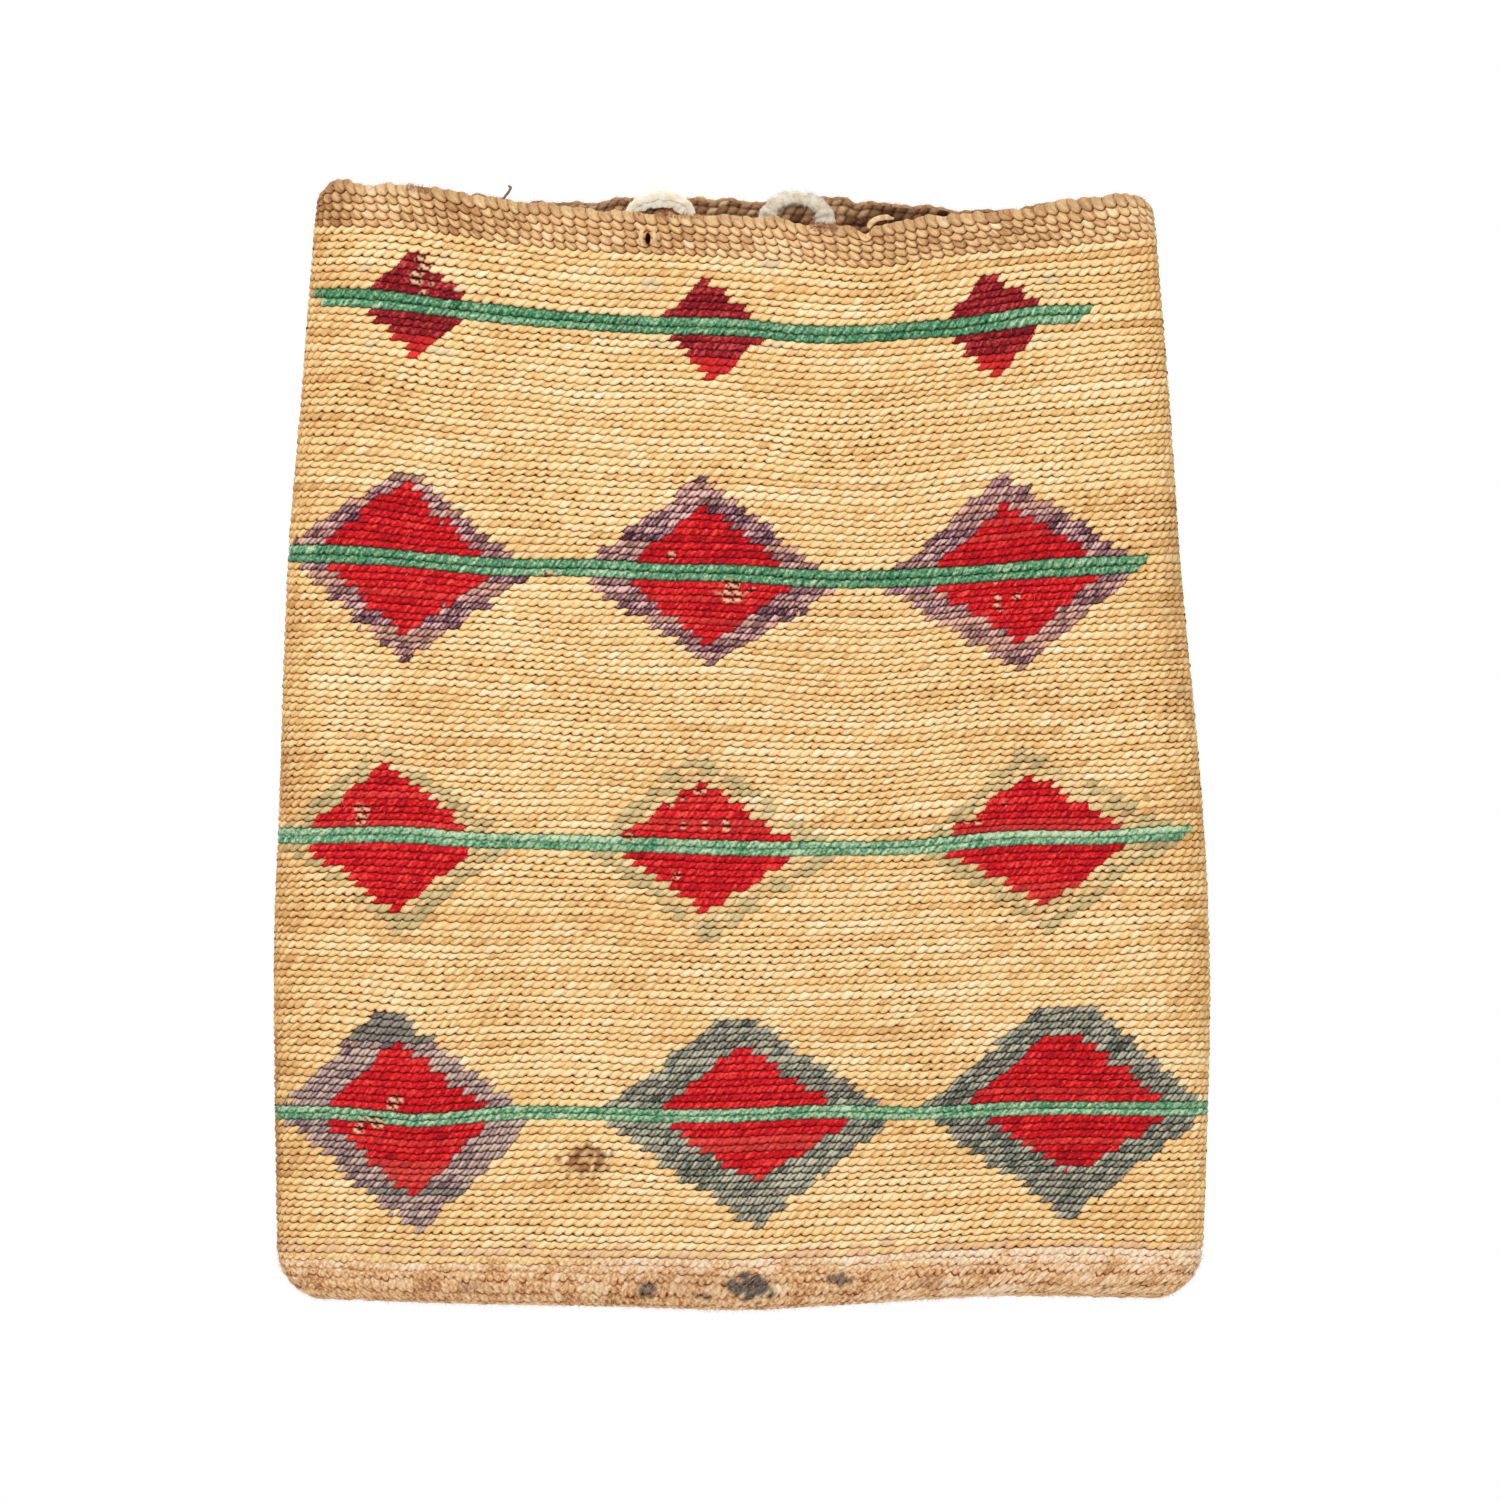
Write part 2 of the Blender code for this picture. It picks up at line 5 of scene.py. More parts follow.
import bpy
import numpy as np
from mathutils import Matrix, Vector


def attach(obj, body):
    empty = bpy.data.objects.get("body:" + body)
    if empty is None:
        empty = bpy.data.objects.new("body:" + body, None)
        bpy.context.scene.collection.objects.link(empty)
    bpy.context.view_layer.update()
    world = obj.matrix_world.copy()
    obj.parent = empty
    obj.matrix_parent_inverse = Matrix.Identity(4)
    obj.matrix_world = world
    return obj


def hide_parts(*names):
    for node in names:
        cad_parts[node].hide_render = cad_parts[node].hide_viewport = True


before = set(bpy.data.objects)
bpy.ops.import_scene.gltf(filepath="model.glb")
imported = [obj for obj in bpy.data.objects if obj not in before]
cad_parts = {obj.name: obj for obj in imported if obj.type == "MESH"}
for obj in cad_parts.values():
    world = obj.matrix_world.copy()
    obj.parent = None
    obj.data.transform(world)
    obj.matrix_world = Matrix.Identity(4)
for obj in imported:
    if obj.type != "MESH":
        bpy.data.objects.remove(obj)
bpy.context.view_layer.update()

# The photograph's frame, at the plane in which the loops stand
PIXEL = 0.000272
ORIGIN_PX = (728, 190)


def px_x(column):
    """World x of a column of the photograph."""
    return (column - ORIGIN_PX[0]) * PIXEL


def px_z(row):
    """World z of a row of the photograph."""
    return (ORIGIN_PX[1] - row) * PIXEL


# Sizes of the bag, as in the part
BAG_HEIGHT = 0.3027
BELLY_HALF_WIDTH = 0.1268
CORNER_RISE = 0.0024
BAG_SHIFT = 0.0033
RIM_DIP = 0.0112
BOTTOM_SAG = 0.0038
BOTTOM_CORNER_RADIUS = 0.012
TOP_CORNER_RADIUS = 0.004
FRONT_MOUTH_DEPTH = 0.0060
FRONT_BELLY_DEPTH = 0.0088
FRONT_FOOT_DEPTH = 0.0050
BACK_DEPTH = 0.0048
BELLY_HEIGHT = 0.120
SIDE_FOLD_REACH = 0.010
BOTTOM_FOLD_HEIGHT = 0.007
CROWN_SHARE = 0.35
SHELL_WALL = 0.0014
OVERLAY = 0.0009
FIT_GAP = 0.0003
RIM_BAND_HEIGHT = 0.0117
BOTTOM_BAND_HEIGHT = 0.0131
STRIPE_HEIGHTS = (0.0050, 0.0049, 0.0041, 0.0037)
STRIPE_SHARES = (0.896, 0.666, 0.413, 0.1725)
LOOP_SPACING = 0.037
LOOP_HEIGHT = 0.010
LOOP_WIDTHS = (0.0174, 0.0196)
LOOP_HALVES = (0.0104, 0.0097)
THONG_WIDTH = 0.0036
THONG_THICKNESS = 0.0012
TIE_WIDTH = 0.0030
FOLD_SHARE = 0.12
EDGE_TRIM = 0.0010
DIP_POWER = 1.8
SAG_POWER = 5
BASE_Z = CORNER_RISE - BAG_HEIGHT
HINGE_Z = -LOOP_HEIGHT
INNER_BACK_Y = THONG_THICKNESS / 2 + FIT_GAP
FOLD_Y = INNER_BACK_Y + SHELL_WALL - BACK_DEPTH
BACK_FACE_Y = INNER_BACK_Y + SHELL_WALL + FIT_GAP + OVERLAY
FRONT_RIM_SHARES = (
    (-1.0, 0.03), (-0.8, 0.10), (-0.5, 0.52), (-0.2, 0.68), (0.06, 0.80),
    (0.3, 1.0), (0.5, 0.79), (0.75, 0.60), (1.0, 0.30),
)
BACK_RIM_SHARES = (
    (-1.0, 0.03), (-0.8, 0.10), (-0.5, 0.47), (-0.2, 0.40), (0.06, 0.42),
    (0.3, 0.50), (0.5, 0.70), (0.75, 0.58), (1.0, 0.30),
)
BOTTOM_SHARES = (
    (-1.0, 0.15), (-0.7, 0.50), (-0.3, 0.72), (0.0, 1.0), (0.25, 0.60), (0.6, 0.0), (1.0, 0.10),
)
LEFT_EDGE_SHARES = ((0.0, 0.992), (0.3, 1.0), (0.45, 0.988), (0.66, 0.970), (0.8, 0.943), (1.0, 0.906))
RIGHT_EDGE_SHARES = ((0.0, 0.990), (0.28, 1.008), (0.45, 0.990), (0.66, 0.945), (0.8, 0.923), (1.0, 0.885))

# Courses of each zone, from the bottom fold up
ZONES = (
    ("foot", 6), ("bottom", 18), ("stripe_4", 2), ("lower", 35), ("stripe_3", 2), ("middle", 36),
    ("stripe_2", 2), ("upper", 31), ("stripe_1", 2), ("top", 8), ("rim", 5),
)
FIELDS = ("top", "upper", "middle", "lower", "bottom")
BANDS = {"rim": "rim_band", "foot": "bottom_band"}

# Halves of the diamonds, by photo columns: at the stripe from and to, at the tip from and to, and courses;
# for each row and place the centre's upper and lower half, then the border's
DIAMONDS = {
    (1, "left"): ((372, 460, 404, 424, 5), (370, 462, 410, 424, 6)),
    (1, "middle"): ((667, 754, 701, 713, 5), (670, 758, 706, 718, 6)),
    (1, "right"): ((952, 1040, 980, 1000, 5), (953, 1040, 991, 1004, 6)),
    (2, "left"): ((325, 478, 402, 411, 9), (330, 484, 397, 409, 9),
                   (294, 512, 402, 411, 11), (300, 524, 400, 409, 13)),
    (2, "middle"): ((633, 783, 699, 710, 8), (630, 788, 702, 714, 9),
                   (592, 816, 700, 709, 12), (588, 834, 704, 714, 12)),
    (2, "right"): ((938, 1088, 1001, 1011, 8), (937, 1096, 1012, 1025, 9),
                   (900, 1124, 996, 1006, 12), (888, 1130, 1015, 1026, 13)),
    (3, "left"): ((312, 466, 384, 395, 9), (308, 474, 388, 400, 9),
                   (283, 500, 380, 397, 11), (285, 504, 394, 410, 12)),
    (3, "middle"): ((625, 786, 694, 706, 8), (622, 790, 703, 714, 8),
                   (600, 826, 690, 706, 12), (598, 832, 702, 718, 12)),
    (3, "right"): ((950, 1122, 1021, 1034, 8), (948, 1128, 1040, 1051, 8),
                   (930, 1168, 1018, 1034, 12), (930, 1170, 1040, 1054, 12)),
    (4, "left"): ((328, 481, 391, 404, 9), (326, 487, 409, 419, 10),
                   (286, 514, 376, 403, 13), (285, 530, 412, 424, 15)),
    (4, "middle"): ((666, 832, 732, 748, 8), (668, 845, 752, 768, 8),
                   (610, 880, 712, 758, 12), (610, 886, 750, 764, 14)),
    (4, "right"): ((972, 1158, 1039, 1086, 9), (986, 1160, 1070, 1080, 8),
                   (930, 1200, 1036, 1095, 13), (934, 1198, 1060, 1074, 14)),
}
# How far the real stripes hang below the part's smooth lines, in photo pixels, from the left fold to the right
DRIFT_PLACES = np.linspace(-0.9, 0.9, 10)
DRIFTS = (
    (0.0, (0.0, 0.0, 0.0, -2.5, -4.5, -4.5, -4.5, -3.5, 0.0, 0.0)),
    (0.1725, (8.4, 13.5, 7.0, 3.0, 1.5, 0.6, 0.8, 2.9, 5.1, 5.0)),
    (0.413, (0.4, -0.8, 0.7, 0.0, 0.8, 2.0, -0.7, -2.5, -3.1, -4.0)),
    (0.666, (0.1, 3.6, 4.1, 2.4, 0.2, 4.0, 3.3, 3.0, 3.1, 3.2)),
    (0.896, (-1.5, 2.5, 2.1, 2.4, 0.7, 2.7, -0.4, 1.2, -3.0, 1.2)), (1.0, (0.0,) * 10),
)
# Photo columns between which each stripe's upper and lower course run
STRIPE_RANGES = (
    ((312, 1092), (322, 1084)), ((200, 1143), (200, 1136)),
    ((200, 1190), (200, 1188)), ((200, 1400), (200, 1400)),
)
SIDES = ("left", "middle", "right")

# Weave: stitch length, and how far the pattern of each kind of stitch leans, in stitches a course
HUSK_PITCH = 0.00286
RIM_PITCH = 0.00320
FOOT_PITCH = 0.00225
PLIES = 2
ROWS = (0.0, 0.13, 0.33, 0.57, 0.80, 0.93)
BACK_ROWS = (0.0, 0.16, 0.40, 0.66, 0.90)
FINE_STEP = 0.00030
BACK_STEP = 0.00042
LIP_DROP = 0.0010
MOUTH_REACH = 0.0065
MOUTH_BLEND = 0.0055
# Inner face: column and row steps, depth of the fine rows, height of a course, stitch length and relief
INNER_STEP = 0.00045
INNER_ROW = 0.0004
INNER_FINE = 0.075
INNER_COURSE = 0.0021
INNER_PITCH = 0.0028
INNER_RELIEF = 0.0008
HUSK, WOOL, BORDER, RIM, FOOT = range(5)
LEANS = np.array([0.62, 0.55, 0.60, -0.28, 0.70])
WAVES = np.array([0.00050, 0.00036, 0.00042, 0.00072, 0.00050])
FLOORS = np.array([0.00042, 0.00046, 0.00044, 0.00032, 0.00045])
HEIGHTS = np.array([0.00085, 0.00078, 0.00082, 0.00105, 0.00062])
ANGLES = np.radians([48.0, 62.0, 50.0, 135.0, 34.0])
PITCHES = np.array([HUSK_PITCH, HUSK_PITCH, HUSK_PITCH, RIM_PITCH, FOOT_PITCH])
MOST_STITCHES = 180
STITCH_ZERO = 90


def cloud(x, z, size, seed, terms=7):
    """Smooth random field of about unit size, the same each run."""
    rng = np.random.default_rng(seed)
    total = np.zeros(np.broadcast(x, z).shape)
    for _ in range(terms):
        turn = rng.uniform(0, math.pi * 2)
        length = size * rng.uniform(0.7, 1.7)
        start = rng.uniform(0, math.pi * 2)
        total = total + np.sin((x * math.cos(turn) + z * math.sin(turn)) * (math.pi * 2 / length) + start)
    return total / math.sqrt(terms / 2)


def along(table, place):
    """Smooth curve through the table's points, read at many places."""
    xs = np.array([point[0] for point in table])
    ys = np.array([point[1] for point in table])
    last = len(table) - 1
    i = np.clip(np.searchsorted(xs, place, side="left") - 1, 0, last - 1)
    before, after = np.maximum(i - 1, 0), np.minimum(i + 2, last)
    span = xs[i + 1] - xs[i]
    slope_in = (ys[i + 1] - ys[before]) / (xs[i + 1] - xs[before])
    slope_out = (ys[after] - ys[i]) / (xs[after] - xs[i])
    t = np.clip((place - xs[i]) / span, 0, 1)
    lean = t * (1 - t) ** 2 * span * slope_in + t * t * (t - 1) * span * slope_out
    return ys[i] + (ys[i + 1] - ys[i]) * t * t * (3 - 2 * t) + lean


def ease(share):
    """Smooth step from 0 to 1."""
    t = np.clip(share, 0, 1)
    return t * t * (3 - 2 * t)


def bell(value, width):
    """Smooth hump, 1 at zero, that falls off over the width."""
    return np.exp(-((value / width) ** 2))


def unit(vectors):
    """Vectors at length one."""
    return vectors / np.maximum(np.linalg.norm(vectors, axis=-1, keepdims=True), 1e-12)


def spot_distance(x, z, column, row, wide, tall):
    """Squared distance from a photo pixel, 1 at the edge of an ellipse of that half width and half height."""
    return ((x - px_x(column)) / (wide * PIXEL)) ** 2 + ((z - px_z(row)) / (tall * PIXEL)) ** 2


def quarter_round(distance, radius):
    """Share of full reach at a distance from the edge of a quarter-round."""
    left = np.clip(1 - distance / radius, 0, 1)
    return np.sqrt(1 - left * left)


def half_width(height, side, lift):
    """Half width of the bag at a height, on either side."""
    share = height / BAG_HEIGHT
    shares = np.where(side < 0, along(LEFT_EDGE_SHARES, share), along(RIGHT_EDGE_SHARES, share))
    full = BELLY_HALF_WIDTH * shares
    round_share = quarter_round(height, BOTTOM_CORNER_RADIUS)
    return full - EDGE_TRIM - BOTTOM_CORNER_RADIUS + (BOTTOM_CORNER_RADIUS + lift) * round_share


def front_depth(height, place):
    """Depth of the front wall in front of the side folds."""
    low = FRONT_FOOT_DEPTH + (FRONT_BELLY_DEPTH - FRONT_FOOT_DEPTH) * ease(height / BELLY_HEIGHT)
    up = ease((height - BELLY_HEIGHT) / (BAG_HEIGHT - BELLY_HEIGHT))
    high = FRONT_BELLY_DEPTH + (FRONT_MOUTH_DEPTH - FRONT_BELLY_DEPTH) * up
    return np.where(height < BELLY_HEIGHT, low, high) * (1 - CROWN_SHARE * place * place)


def hang(height, place, edge_distance, front):
    """World height of a course line at a place across the bag."""
    share = np.maximum(height, 0) / BAG_HEIGHT
    dip = RIM_DIP * along(FRONT_RIM_SHARES if front else BACK_RIM_SHARES, place) * share ** DIP_POWER
    sag = BOTTOM_SAG * along(BOTTOM_SHARES, place) * np.maximum(1 - share, 0) ** SAG_POWER
    near_rim = np.clip(1 - (BAG_HEIGHT - height) / RIM_BAND_HEIGHT, 0, 1)
    corner = TOP_CORNER_RADIUS * (1 - quarter_round(edge_distance, TOP_CORNER_RADIUS)) * near_rim
    return BASE_Z + height - dip - sag - corner - (drift(share, place) if front else 0.0)


def drift(share, place):
    """How far the front's courses hang below their smooth lines."""
    shares = [row[0] for row in DRIFTS]
    levels = [np.interp(place, DRIFT_PLACES, row[1]) for row in DRIFTS]
    total = levels[0] * 0.0
    for i in range(len(shares) - 1):
        part = np.clip((share - shares[i]) / (shares[i + 1] - shares[i]), 0, 1)
        total = total + (levels[i + 1] - levels[i]) * part
    return total * PIXEL


def swell(x, height, front):
    """Soft unevenness of a wall, none near the folds and the bottom, and on the back none near the loops."""
    share = height / BAG_HEIGHT
    inside = ease((1 - np.abs(x - BAG_SHIFT) / BELLY_HALF_WIDTH) / 0.22) * ease(share / 0.15)
    if front:
        return 0.0006 * cloud(x, height, 0.110, 31) * inside
    return 0.0007 * (cloud(x, height, 0.095, 32) + 0.6) * inside * ease((1 - share) / 0.25)


def bag_points(across, height, front, lift):
    """Points of a layer. Across runs from fold to fold, -1 to 1, and lift is out of the shell."""
    side = np.where(across < 0, -1.0, 1.0)
    flat = 1 - FOLD_SHARE
    turn = np.maximum(0.0, np.abs(across) - flat) / FOLD_SHARE * (math.pi / 2)
    half = half_width(height, side, lift)
    reach = SIDE_FOLD_REACH + lift
    x = np.minimum(np.abs(across), flat) / flat * (half - reach) + reach * np.sin(turn)
    place = side * np.minimum(x / half, 1.0)
    rise = np.clip(1 - height / BOTTOM_FOLD_HEIGHT, 0, 1)
    depth = front_depth(height, place) if front else BACK_DEPTH
    world_x = BAG_SHIFT + side * x
    depth = (depth + lift) * np.cos(turn) * np.sqrt(1 - rise * rise) + swell(world_x, height, front)
    y = FOLD_Y - depth if front else FOLD_Y + depth
    z = hang(height, place, half - x, front) - lift * rise
    return np.stack([world_x, y, z], axis=-1)


# Bumps and dips of the mouth's edge by photo pixels: column, half width and height
FRONT_BUMPS = (
    (334, 14, 3.0), (356, 7, -2.0), (415, 10, 1.5), (452, 12, 1.5), (560, 12, -2.0), (864, 7, -8.5),
    (918, 34, 3.0), (1088, 36, 5.0), (1120, 14, 2.0), (1142, 9, 1.0),
)
BACK_BUMPS = ((618, 14, 4.0), (700, 10, 3.0), (832, 30, 6.0), (925, 45, 5.0), (1060, 30, 3.0))


def mouth_edge(x, front):
    """How far the mouth's edge stands above or below its smooth line."""
    rise = 0.00030 * cloud(x, 0.0 * x, 0.011, 57 + front) + 0.00018 * cloud(x, 0.0 * x, 0.0045, 59 + front)
    for column, wide, high in FRONT_BUMPS if front else BACK_BUMPS:
        rise = rise + high * PIXEL * bell(x - px_x(column), wide * PIXEL)
    return rise


def mouth_rise(x, height, front):
    """What the mouth's uneven edge adds to a height, less and less below the edge."""
    return mouth_edge(x, front) * ease((height - BAG_HEIGHT + MOUTH_REACH) / MOUTH_BLEND)


def columns_for(step):
    """Places across the bag, about a step apart."""
    flat = 1 - FOLD_SHARE
    middle = np.linspace(-flat, flat, round(2 * (BELLY_HALF_WIDTH - SIDE_FOLD_REACH) / step) + 1)
    arc = np.linspace(flat, 1.0, round(SIDE_FOLD_REACH * math.pi / 2 / step) + 1)[1:]
    return np.concatenate([-arc[::-1], middle, arc])


def course_lines():
    """Nominal height of each line between courses, from the bottom fold up, and each course's zone."""
    edges = [0.0, BOTTOM_BAND_HEIGHT]
    for share, tall in zip(STRIPE_SHARES[::-1], STRIPE_HEIGHTS[::-1]):
        edges += [share * BAG_HEIGHT - tall / 2, share * BAG_HEIGHT + tall / 2]
    edges += [BAG_HEIGHT - RIM_BAND_HEIGHT, BAG_HEIGHT - LIP_DROP]
    lines, names = [0.0], []
    for (name, count), low, high in zip(ZONES, edges[:-1], edges[1:]):
        lines += list(np.linspace(low, high, count + 1)[1:])
        names += [name] * count
    return np.array(lines), names


LINES, COURSE_ZONES = course_lines()
COURSES = len(COURSE_ZONES)


def first_course(zone):
    """Number of a zone's lowest course."""
    return COURSE_ZONES.index(zone)


def last_course(zone):
    """Number of a zone's highest course."""
    return first_course(zone) + COURSE_ZONES.count(zone) - 1


def plan_codes():
    """For each course, the stretches that aren't plain husk: from, to and what they are."""
    plan = [[] for _ in range(COURSES)]
    for (row, place), halves in DIAMONDS.items():
        above, below = last_course(f"stripe_{row}") + 1, first_course(f"stripe_{row}") - 1
        kinds = ("border", "diamond") if len(halves) > 2 else ("diamond",)
        for kind in kinds:
            pair = halves[2:] if kind == "border" else halves[:2]
            for ending, start, step, (left, right, tip_left, tip_right, count) in (
                ("upper", above, 1, pair[0]), ("lower", below, -1, pair[1]),
            ):
                for i in range(count):
                    share = i / (count - 1)
                    low = px_x(left + (tip_left - left) * share)
                    high = px_x(right + (tip_right - right) * share)
                    plan[start + step * i].append((low, high, f"{kind}_row{row}_{place}_{ending}"))
    for row, ranges in enumerate(STRIPE_RANGES, 1):
        for offset, (low, high) in enumerate(ranges):
            plan[last_course(f"stripe_{row}") - offset].append((px_x(low), px_x(high), f"green_stripe_{row}"))
    return plan


def style_of(name):
    """Kind of stitch of a piece."""
    if name.startswith("border"):
        return HUSK if "row3" in name else BORDER
    return WOOL if name.startswith(("diamond", "green")) else {"rim": RIM, "foot": FOOT}.get(name, HUSK)


def fibre_space(x, height, angle, strand):
    """Coordinates in millimetres along and across a strand's fibres, and a number of the strand's own."""
    u, v = x * 1000.0, height * 1000.0
    along_fibre = u * np.cos(angle) + v * np.sin(angle)
    return np.stack([along_fibre, v * np.cos(angle) - u * np.sin(angle), strand], axis=-1)


def stretches(rng, low, high):
    """Random value for each stitch of each course, the same along a stretch of one strand of husk."""
    made = np.zeros((COURSES, MOST_STITCHES))
    for course in range(COURSES):
        at = 0
        while at < MOST_STITCHES:
            run = int(rng.integers(low, high))
            made[course, at:at + run] = rng.normal()
            at += run
    return made


class Weave:
    """One side of the bag as a fine grid: points, normals, what each face belongs to, and surface data."""

    def __init__(self, front, step, rows, seed):
        rng = np.random.default_rng(seed)
        self.front = front
        self.across = columns_for(step)
        middles = (LINES[:-1] + LINES[1:]) / 2
        base = bag_points(self.across[None], middles[:, None], front, 0.001)
        flat = 1 - FOLD_SHARE
        turn = np.maximum(0.0, np.abs(self.across) - flat) / FOLD_SHARE * (math.pi / 2)
        extra = (turn - np.sin(turn)) * SIDE_FOLD_REACH * np.sign(self.across)
        self.world_x = base[..., 0]
        length = base[..., 0] + extra[None]
        zone_style = np.array([style_of(name) for name in COURSE_ZONES])
        pitch = PITCHES[zone_style] * np.where(zone_style == RIM, 1.0, rng.normal(1, 0.03, COURSES))
        phase = np.arange(COURSES) * np.where(zone_style == RIM, 0.02, 0.47)
        phase += rng.normal(0, 0.10, COURSES) * np.where(zone_style == RIM, 0.2, 1.0)
        wander = np.stack([cloud(length[i], i * 1.0, 0.030, seed + 1) for i in range(COURSES)])
        self.stitch = length / pitch[:, None] + phase[:, None] + 0.16 * wander + STITCH_ZERO
        codes, names = self.place_codes(rng)
        styles = np.array([style_of(name) for name in names])
        course_styles = styles[codes]
        lines = self.waved_lines(rng, course_styles)
        course = np.repeat(np.arange(COURSES), len(rows))
        t = np.tile(np.array(rows), COURSES)
        course, t = np.append(course, COURSES - 1), np.append(t, 1.0)
        self.course, self.t = course, t
        s = self.stitch[course] - LEANS[course_styles[course]] * (t[:, None] - 0.5)
        self.k = np.clip(np.floor(s).astype(int), 0, MOST_STITCHES - 1)
        self.f = s - np.floor(s)
        centre_x = self.world_x[course] - pitch[course][:, None] * (
            (self.f - 0.5) + LEANS[course_styles[course]] * (t[:, None] - 0.5))
        self.code = self.code_at(course, centre_x)
        self.style = styles[self.code]
        self.is_green = np.array([name.startswith("green") for name in names])[self.code]
        height = lines[course] * (1 - t[:, None]) + lines[course + 1] * t[:, None]
        foot = np.clip(height / BOTTOM_FOLD_HEIGHT, 0, 1)
        height = np.where(foot < 1, BOTTOM_FOLD_HEIGHT * (1 - np.cos(foot * math.pi / 2)), height)
        height = height + mouth_rise(base[-1, :, 0], height, front)
        self.height = height
        self.tables(rng)
        relief = self.relief()
        lift = FLOORS[self.style] + HEIGHTS[self.style] * relief
        lift = self.marks(lift)
        self.co = bag_points(self.across[None], height, front, lift)
        self.add_lip(lift)
        self.normal = self.normals()

    def place_codes(self, rng):
        """Names of what the stitches can be, and what each column of each course is at its middle."""
        self.plan = plan_codes() if self.front else [[] for _ in range(COURSES)]
        names = ["rim", "foot"] + list(FIELDS)
        for stretch in self.plan:
            names += [name for _, _, name in stretch if name not in names]
        index = {name: i for i, name in enumerate(names)}
        zone_field = {}
        field = "bottom"
        for zone, _ in ZONES:
            field = zone if zone in FIELDS else field
            zone_field[zone] = index[zone if zone in ("rim", "foot") else field]
        self.base_code = np.array([zone_field[zone] for zone in COURSE_ZONES])
        self.jitter = [[rng.uniform(-0.2, 0.2, 2) * HUSK_PITCH for _ in stretch] for stretch in self.plan]
        self.index = index
        return self.code_at(np.arange(COURSES), self.world_x), names

    def code_at(self, course, x):
        """What the stitch whose middle is at x belongs to."""
        code = np.repeat(self.base_code[course][:, None], x.shape[1], axis=1)
        for number, stretch in enumerate(self.plan):
            rows = np.nonzero(course == number)[0]
            for (low, high, name), (shift_low, shift_high) in zip(stretch, self.jitter[number]):
                if name.startswith("green"):
                    shift_low = shift_high = 0.0
                inside = (x[rows] > low + shift_low) & (x[rows] < high + shift_high)
                code[rows] = np.where(inside, self.index[name], code[rows])
        return code

    def waved_lines(self, rng, styles):
        """Height of each line between courses at each column, with its drift and its scallops."""
        x = self.across * BELLY_HALF_WIDTH
        lines = np.repeat(LINES[:, None], len(x), axis=1)
        fade = ease(LINES / 0.012) * ease((BAG_HEIGHT - LIP_DROP - LINES) / 0.012)
        lines += (0.00022 * cloud(x[None], LINES[:, None] * 1.6, 0.045, self.front + 51)) * fade[:, None]
        lines += rng.normal(0, 0.00010, (len(LINES), 1)) * fade[:, None]
        near = ease(LINES / 0.003) * ease((BAG_HEIGHT - LIP_DROP - LINES) / 0.006)
        rough = np.where(LINES < BOTTOM_BAND_HEIGHT, 0.00024, 0.00007) * near
        lines += rough[:, None] * cloud(x[None], LINES[:, None] * 4.0, 0.006, self.front + 53)
        for i in range(1, len(LINES)):
            above = min(i, COURSES - 1)
            start = self.stitch[above] + LEANS[styles[above]] * 0.5
            part = start - np.floor(start)
            rising, falling = math.pi / 2 * part / 0.68, math.pi / 2 * (part - 0.68) / 0.32
            saw = np.where(part < 0.68, np.sin(rising), np.cos(falling))
            scallop = 0.45 - np.where(styles[above] == RIM, saw, np.abs(np.sin(math.pi * part)) ** 0.8)
            size = WAVES[styles[above]] * (0.15 if i == COURSES else 1.0)
            lines[i] += size * scallop
        return lines

    def tables(self, rng):
        """Random values of strands and stitches, read at each point."""
        c, k = self.course[:, None], self.k
        self.strand = stretches(rng, 3, 24)[c, k]
        self.heat = stretches(rng, 4, 30)[c, k]
        self.one = rng.normal(size=(COURSES, MOST_STITCHES))[c, k]
        self.two = rng.uniform(size=(COURSES, MOST_STITCHES))[c, k]
        self.near = rng.uniform(size=(COURSES, MOST_STITCHES + 1))[c, np.round(k + self.f).astype(int)]
        self.course_tone = np.random.default_rng(8).normal(size=COURSES)
        ply = (self.k + self.f) * PLIES
        ply_number = np.clip(np.floor(ply).astype(int), 0, MOST_STITCHES * PLIES)
        self.ply = ply - np.floor(ply)
        self.ply_tone = rng.normal(size=(COURSES, MOST_STITCHES * PLIES + 1))[c, ply_number]

    def relief(self):
        """Height of the surface between its valleys, 0, and its crowns, 1."""
        t = np.repeat(self.t[:, None], self.f.shape[1], axis=1)
        edge = np.minimum(self.f, 1 - self.f)
        dome = (1 - np.abs(2 * t - 1) ** 2.4) ** 0.7
        husk = (1 - np.abs(2 * t - 1) ** 3.0) ** 0.7 * (1 - 0.32 * bell(edge, 0.08))
        husk = husk * (0.86 + 0.14 * np.sin(math.pi * self.f))
        uneven = 1 + 0.10 * np.clip(self.one, -1.5, 1.5)
        husk = husk * uneven
        husk -= 0.45 * (self.near < 0.55) * bell(edge, 0.14) * bell(t, 0.22)
        round_ply = np.sin(math.pi * self.ply)
        x = self.world_x[self.course]
        lumps = cloud(x, self.height, 0.0014, 73, 12)
        wool = dome * (1 - 0.30 * bell(edge, 0.12)) * (0.83 + 0.17 * round_ply) + 0.08 * lumps
        border = dome * (1 - 0.46 * bell(edge, 0.13)) * (0.68 + 0.32 * round_ply) + 0.06 * lumps
        scale = (1 - np.abs(2 * self.f - 1) ** 3.6) ** 0.5 * (1 - np.abs(2 * t - 1) ** 3.2) ** 0.5
        scale = scale * (0.70 + 0.30 * np.clip(self.f + 0.6 - t, 0, 1)) * uneven
        foot = 0.20 + 0.55 * dome * (1 - 0.45 * bell(edge, 0.17)) * (0.8 + 0.2 * round_ply)
        foot += 0.16 * cloud(x, self.height, 0.0016, 71, 12)
        return np.choose(self.style, [husk, wool, border, scale, foot])

